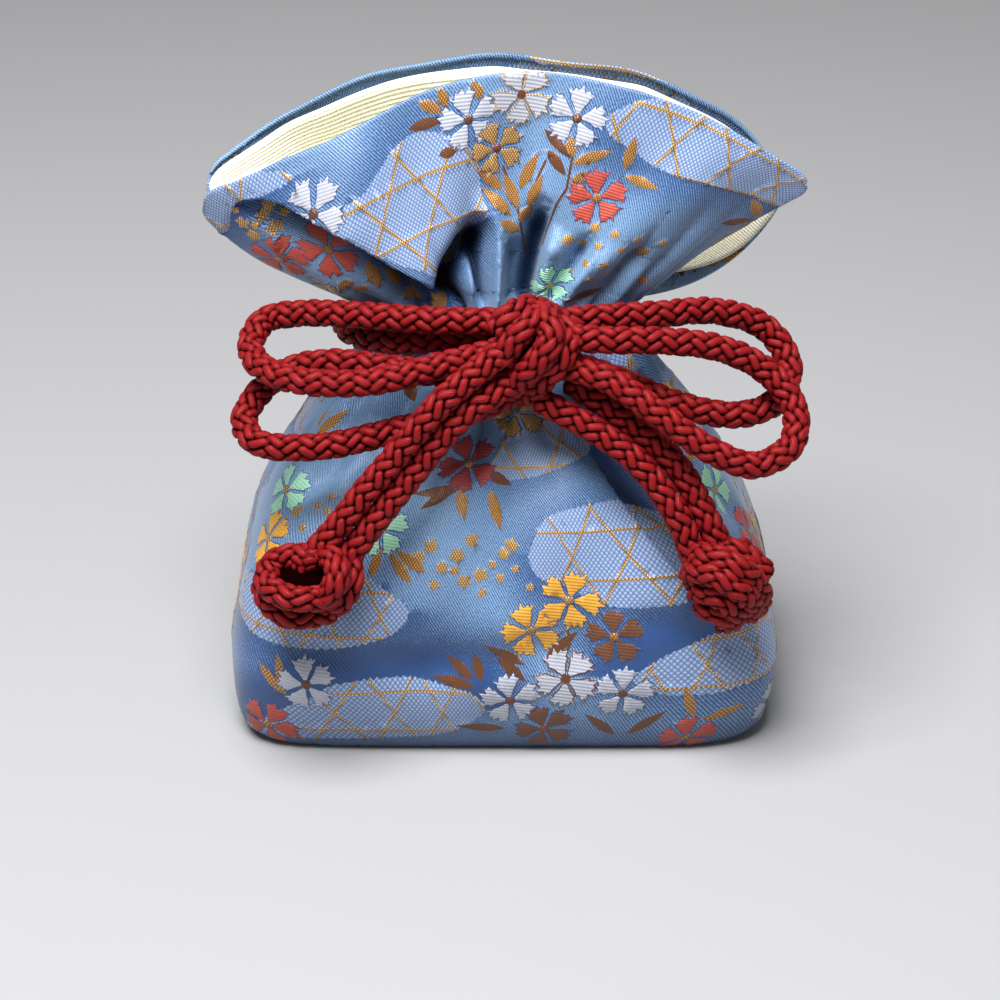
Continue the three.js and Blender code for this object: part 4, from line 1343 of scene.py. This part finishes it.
def braid_material(cord):
    material, tree, shader = new_material("dark red braid")
    place = tree.add("ShaderNodeTexCoord").outputs["Object"]
    top = tree.ramp(tree.attribute("lump"), 0.15, 0.95)
    waves = tree.math("SINE", tree.times(tree.attribute("thread"), 19.0))
    lines = tree.math("MULTIPLY_ADD", waves, 0.5, 0.5)
    shade = uneven_yarn(tree, place, 1500.0, 160.0, 0.7)
    lit = tree.times(shade, tree.math("MULTIPLY_ADD", lines, 0.22, 0.86))
    silk = tree.dim((*cord.red, 1), lit)
    # painted shade: the creases between the lumps take the crease colour
    tree.feed(shader.inputs["Base Color"], tree.mix(top, (*cord.crease, 1), silk))
    tree.feed(shader.inputs["Roughness"], tree.math("MULTIPLY_ADD", lines, 0.12, 0.46))
    tree.bump(shader, lines, 0.3, 0.00008)
    tree.feed(shader.inputs["Specular IOR Level"], tree.times(top, 0.3))
    shader.inputs["Specular Tint"].default_value = (1.0, 0.45, 0.42, 1.0)
    return material


def plain_material(name, colour, roughness, *uneven):
    """A matt surface with an even tone that is a little broken up."""
    material, tree, shader = new_material(name)
    place = tree.add("ShaderNodeTexCoord").outputs["Object"]
    shade = uneven_yarn(tree, place, *uneven)
    tree.feed(shader.inputs["Base Color"], tree.dim((*colour, 1), shade))
    shader.inputs["Roughness"].default_value = roughness
    return material


# Operators


class SACHET_OT_stage(bpy.types.Operator):
    """Set up the camera, the soft light and the pale floor"""

    bl_idname = "sachet.stage"
    bl_label = "Stage"

    def execute(self, context):
        stage = context.scene.sachet_stage
        view = bpy.data.cameras.new("camera")
        view.lens = LENS
        view.sensor_width = 36
        view.clip_start = 0.01
        camera = bpy.data.objects.new("camera", view)
        away = VIEW_DISTANCE * math.cos(VIEW_PITCH), VIEW_DISTANCE * math.sin(VIEW_PITCH)
        camera.location = VIEW_TARGET[0], VIEW_TARGET[1] - away[0], VIEW_TARGET[2] + away[1]
        camera.rotation_euler = math.pi / 2 - VIEW_PITCH, 0, 0
        context.scene.collection.objects.link(camera)
        context.scene.camera = camera
        context.scene.view_settings.view_transform = "Standard"
        self.lamp("key lamp", (-0.08, -0.22, 0.57), (0, 0, 0.04), 0.36, stage.key)
        self.lamp("left lamp", (-0.6, -0.5, 0.32), (0, 0, 0.04), 0.5, stage.fill)
        self.lamp("right lamp", (0.6, -0.5, 0.32), (0, 0, 0.04), 0.5, stage.fill)
        world = bpy.data.worlds.new("even light")
        context.scene.world = world
        world.use_nodes = True
        world.node_tree.nodes["Background"].inputs["Color"].default_value = 1, 1, 1, 1
        world.node_tree.nodes["Background"].inputs["Strength"].default_value = stage.sky
        self.floor(stage.floor)
        return {"FINISHED"}

    def lamp(self, name, place, aim, size, power):
        light = bpy.data.lights.new(name, "AREA")
        light.shape = "DISK"
        light.size = size
        light.energy = power
        lamp = bpy.data.objects.new(name, light)
        lamp.location = place
        lamp.rotation_euler = (Vector(aim) - Vector(place)).to_track_quat("-Z", "Y").to_euler()
        bpy.context.scene.collection.objects.link(lamp)

    def floor(self, colour):
        material = plain_material("pale floor", colour, 0.9, 40.0, 3.0, 0.02)
        half, below = 3.0, -0.0001
        corners = [(-half, -half, below), (half, -half, below), (half, half, below), (-half, half, below)]
        return new_object("floor", corners, [(0, 1, 2, 3)], material, smooth=False)


def braid_of(context):
    made = bpy.data.materials.get("dark red braid")
    return made or braid_material(context.scene.sachet_cord)


def brocade_of(context):
    return bpy.data.materials.get("blue brocade") or brocade_material(context.scene.sachet_cloth)


def settle(piece, slot, *nodes):
    """The piece belongs to the pouch and stands for CAD nodes, which are hidden; the slot is not used."""
    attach(piece, "root")
    if nodes:
        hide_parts(*nodes)
    return piece


def knot_core(centre, radii, material):
    """The cord hidden in the middle of a knot."""
    bpy.ops.mesh.primitive_uv_sphere_add(segments=24, ring_count=12, radius=1, location=centre)
    core = bpy.context.active_object
    core.scale = radii
    bpy.ops.object.transform_apply(location=True, rotation=True, scale=True)
    core.data.materials.append(material)
    # painted shade: the core takes the crease colour all over, so a knot's hole shows dark
    set_attribute(core.data, "lump", "FLOAT", "POINT", np.zeros(len(core.data.vertices)))
    set_attribute(core.data, "thread", "FLOAT", "POINT", np.zeros(len(core.data.vertices)))
    return core


def knot_turns(turns, cord, material, girth):
    """The turns of cord that show on a knot."""
    paths = [even_curve(np.array(turn) * MM, BRAID_STEP) for turn in turns]
    starts = [TURN_SHIFT * k for k in range(len(paths))]
    return [braided_tube("turn", path, cord, material, girth, at) for path, at in zip(paths, starts)]


class SACHET_OT_cords(bpy.types.Operator):
    """Lay the bow's four loops and its four tails"""

    bl_idname = "sachet.cords"
    bl_label = "Cords"

    def execute(self, context):
        cord = context.scene.sachet_cord
        for routes, far_end in ((LOOPS, "object"), (TAILS, "knot")):
            for name, route in routes.items():
                path = even_curve(route, BRAID_STEP)
                piece = settle(braided_tube(f"{name}_braid", path, cord, braid_of(context)), "cord", name)
        return {"FINISHED"}


class SACHET_OT_neck_strands(bpy.types.Operator):
    """Draw the strands from the channel round the neck to the bow"""

    bl_idname = "sachet.neck_strands"
    bl_label = "Neck strands"

    def execute(self, context):
        cord = context.scene.sachet_cord
        for name, route in NECK_STRANDS.items():
            path = even_curve(route, BRAID_STEP)
            settle(braided_tube(f"{name}_braid", path, cord, braid_of(context)), "cord", name)
        return {"FINISHED"}


class SACHET_OT_bow_knot(bpy.types.Operator):
    """Wrap the middle of the bow"""

    bl_idname = "sachet.bow_knot"
    bl_label = "Bow knot"

    def execute(self, context):
        cord = context.scene.sachet_cord
        pieces = [knot_core(BOW_KNOT, BOW_CORE, braid_of(context))]
        pieces += knot_turns(BOW_TURNS, cord, braid_of(context), 1.0)
        settle(joined("bow_knot_wrap", pieces), "cord", "bow_knot")
        return {"FINISHED"}


class SACHET_OT_end_knots(bpy.types.Operator):
    """Tie the overhand knots at the ends of the tails"""

    bl_idname = "sachet.end_knots"
    bl_label = "End knots"

    def execute(self, context):
        cord = context.scene.sachet_cord
        for name, (centre, turns) in END_KNOTS.items():
            pieces = [knot_core(centre, END_CORE, braid_of(context))]
            pieces += knot_turns(turns, cord, braid_of(context), END_GIRTH)
            settle(joined(f"{name}_braid", pieces), "cord", name)
        return {"FINISHED"}


class SACHET_OT_outer_bag(bpy.types.Operator):
    """Sew the two brocade panels and the foot"""

    bl_idname = "sachet.outer_bag"
    bl_label = "Outer bag"

    def execute(self, context):
        cloth = context.scene.sachet_cloth
        material = brocade_of(context)
        pieces = [cloth_panel("front", True, cloth, material), cloth_panel("back", False, cloth, material)]
        pieces.append(foot_panel("foot", material, cloth))
        for piece in pieces:
            apply_modifier(piece, "SOLIDIFY", thickness=cloth.thickness, offset=-1)
        bag = settle(joined("outer_bag_brocade", pieces), "brocade", "outer_bag")
        return {"FINISHED"}


class SACHET_OT_lining(bpy.types.Operator):
    """Line the pouch"""

    bl_idname = "sachet.lining"
    bl_label = "Lining"

    def execute(self, context):
        cloth = context.scene.sachet_cloth
        material = lining_material(cloth.lining)
        sides = (("front lining", True), ("back lining", False))
        pieces = [lining_panel(name, front, cloth, material) for name, front in sides]
        for piece in pieces:
            apply_modifier(piece, "SOLIDIFY", thickness=cloth.thickness, offset=-1)
        lining = settle(joined("lining_cloth", pieces), "lining", "lining")
        return {"FINISHED"}


class SACHET_OT_packet(bpy.types.Operator):
    """Finish the scent packet"""

    bl_idname = "sachet.packet"
    bl_label = "Scent packet"

    def execute(self, context):
        packet = bpy.data.objects["scent_packet"]
        packet.data.materials.clear()
        colour = context.scene.sachet_cloth.packet
        packet.data.materials.append(plain_material("scent packet paper", colour, 0.85, 900.0, 60.0, 0.3))
        return {"FINISHED"}


STEPS = (
    SACHET_OT_stage,
    SACHET_OT_cords,
    SACHET_OT_neck_strands,
    SACHET_OT_bow_knot,
    SACHET_OT_end_knots,
    SACHET_OT_outer_bag,
    SACHET_OT_lining,
    SACHET_OT_packet,
)


class SACHET_PT_panel(bpy.types.Panel):
    """Lists the steps that dress the sachet"""

    bl_idname = "SACHET_PT_panel"
    bl_label = "Scent sachet"
    bl_space_type = "VIEW_3D"
    bl_region_type = "UI"
    bl_category = "Sachet"

    def draw(self, context):
        for step in STEPS:
            self.layout.operator(step.bl_idname)


GROUPS = {"sachet_cloth": SachetCloth, "sachet_cord": SachetCord, "sachet_stage": SachetStage}
CLASSES = (*GROUPS.values(), *STEPS, SACHET_PT_panel)


def register():
    for made in CLASSES:
        bpy.utils.register_class(made)
    for name, group in GROUPS.items():
        setattr(bpy.types.Scene, name, PointerProperty(type=group))


def unregister():
    for name in GROUPS:
        delattr(bpy.types.Scene, name)
    for made in reversed(CLASSES):
        bpy.utils.unregister_class(made)


def main():
    register()
    for step in STEPS:
        area, name = step.bl_idname.split(".")
        getattr(getattr(bpy.ops, area), name)()


if __name__ == "__main__":
    main()
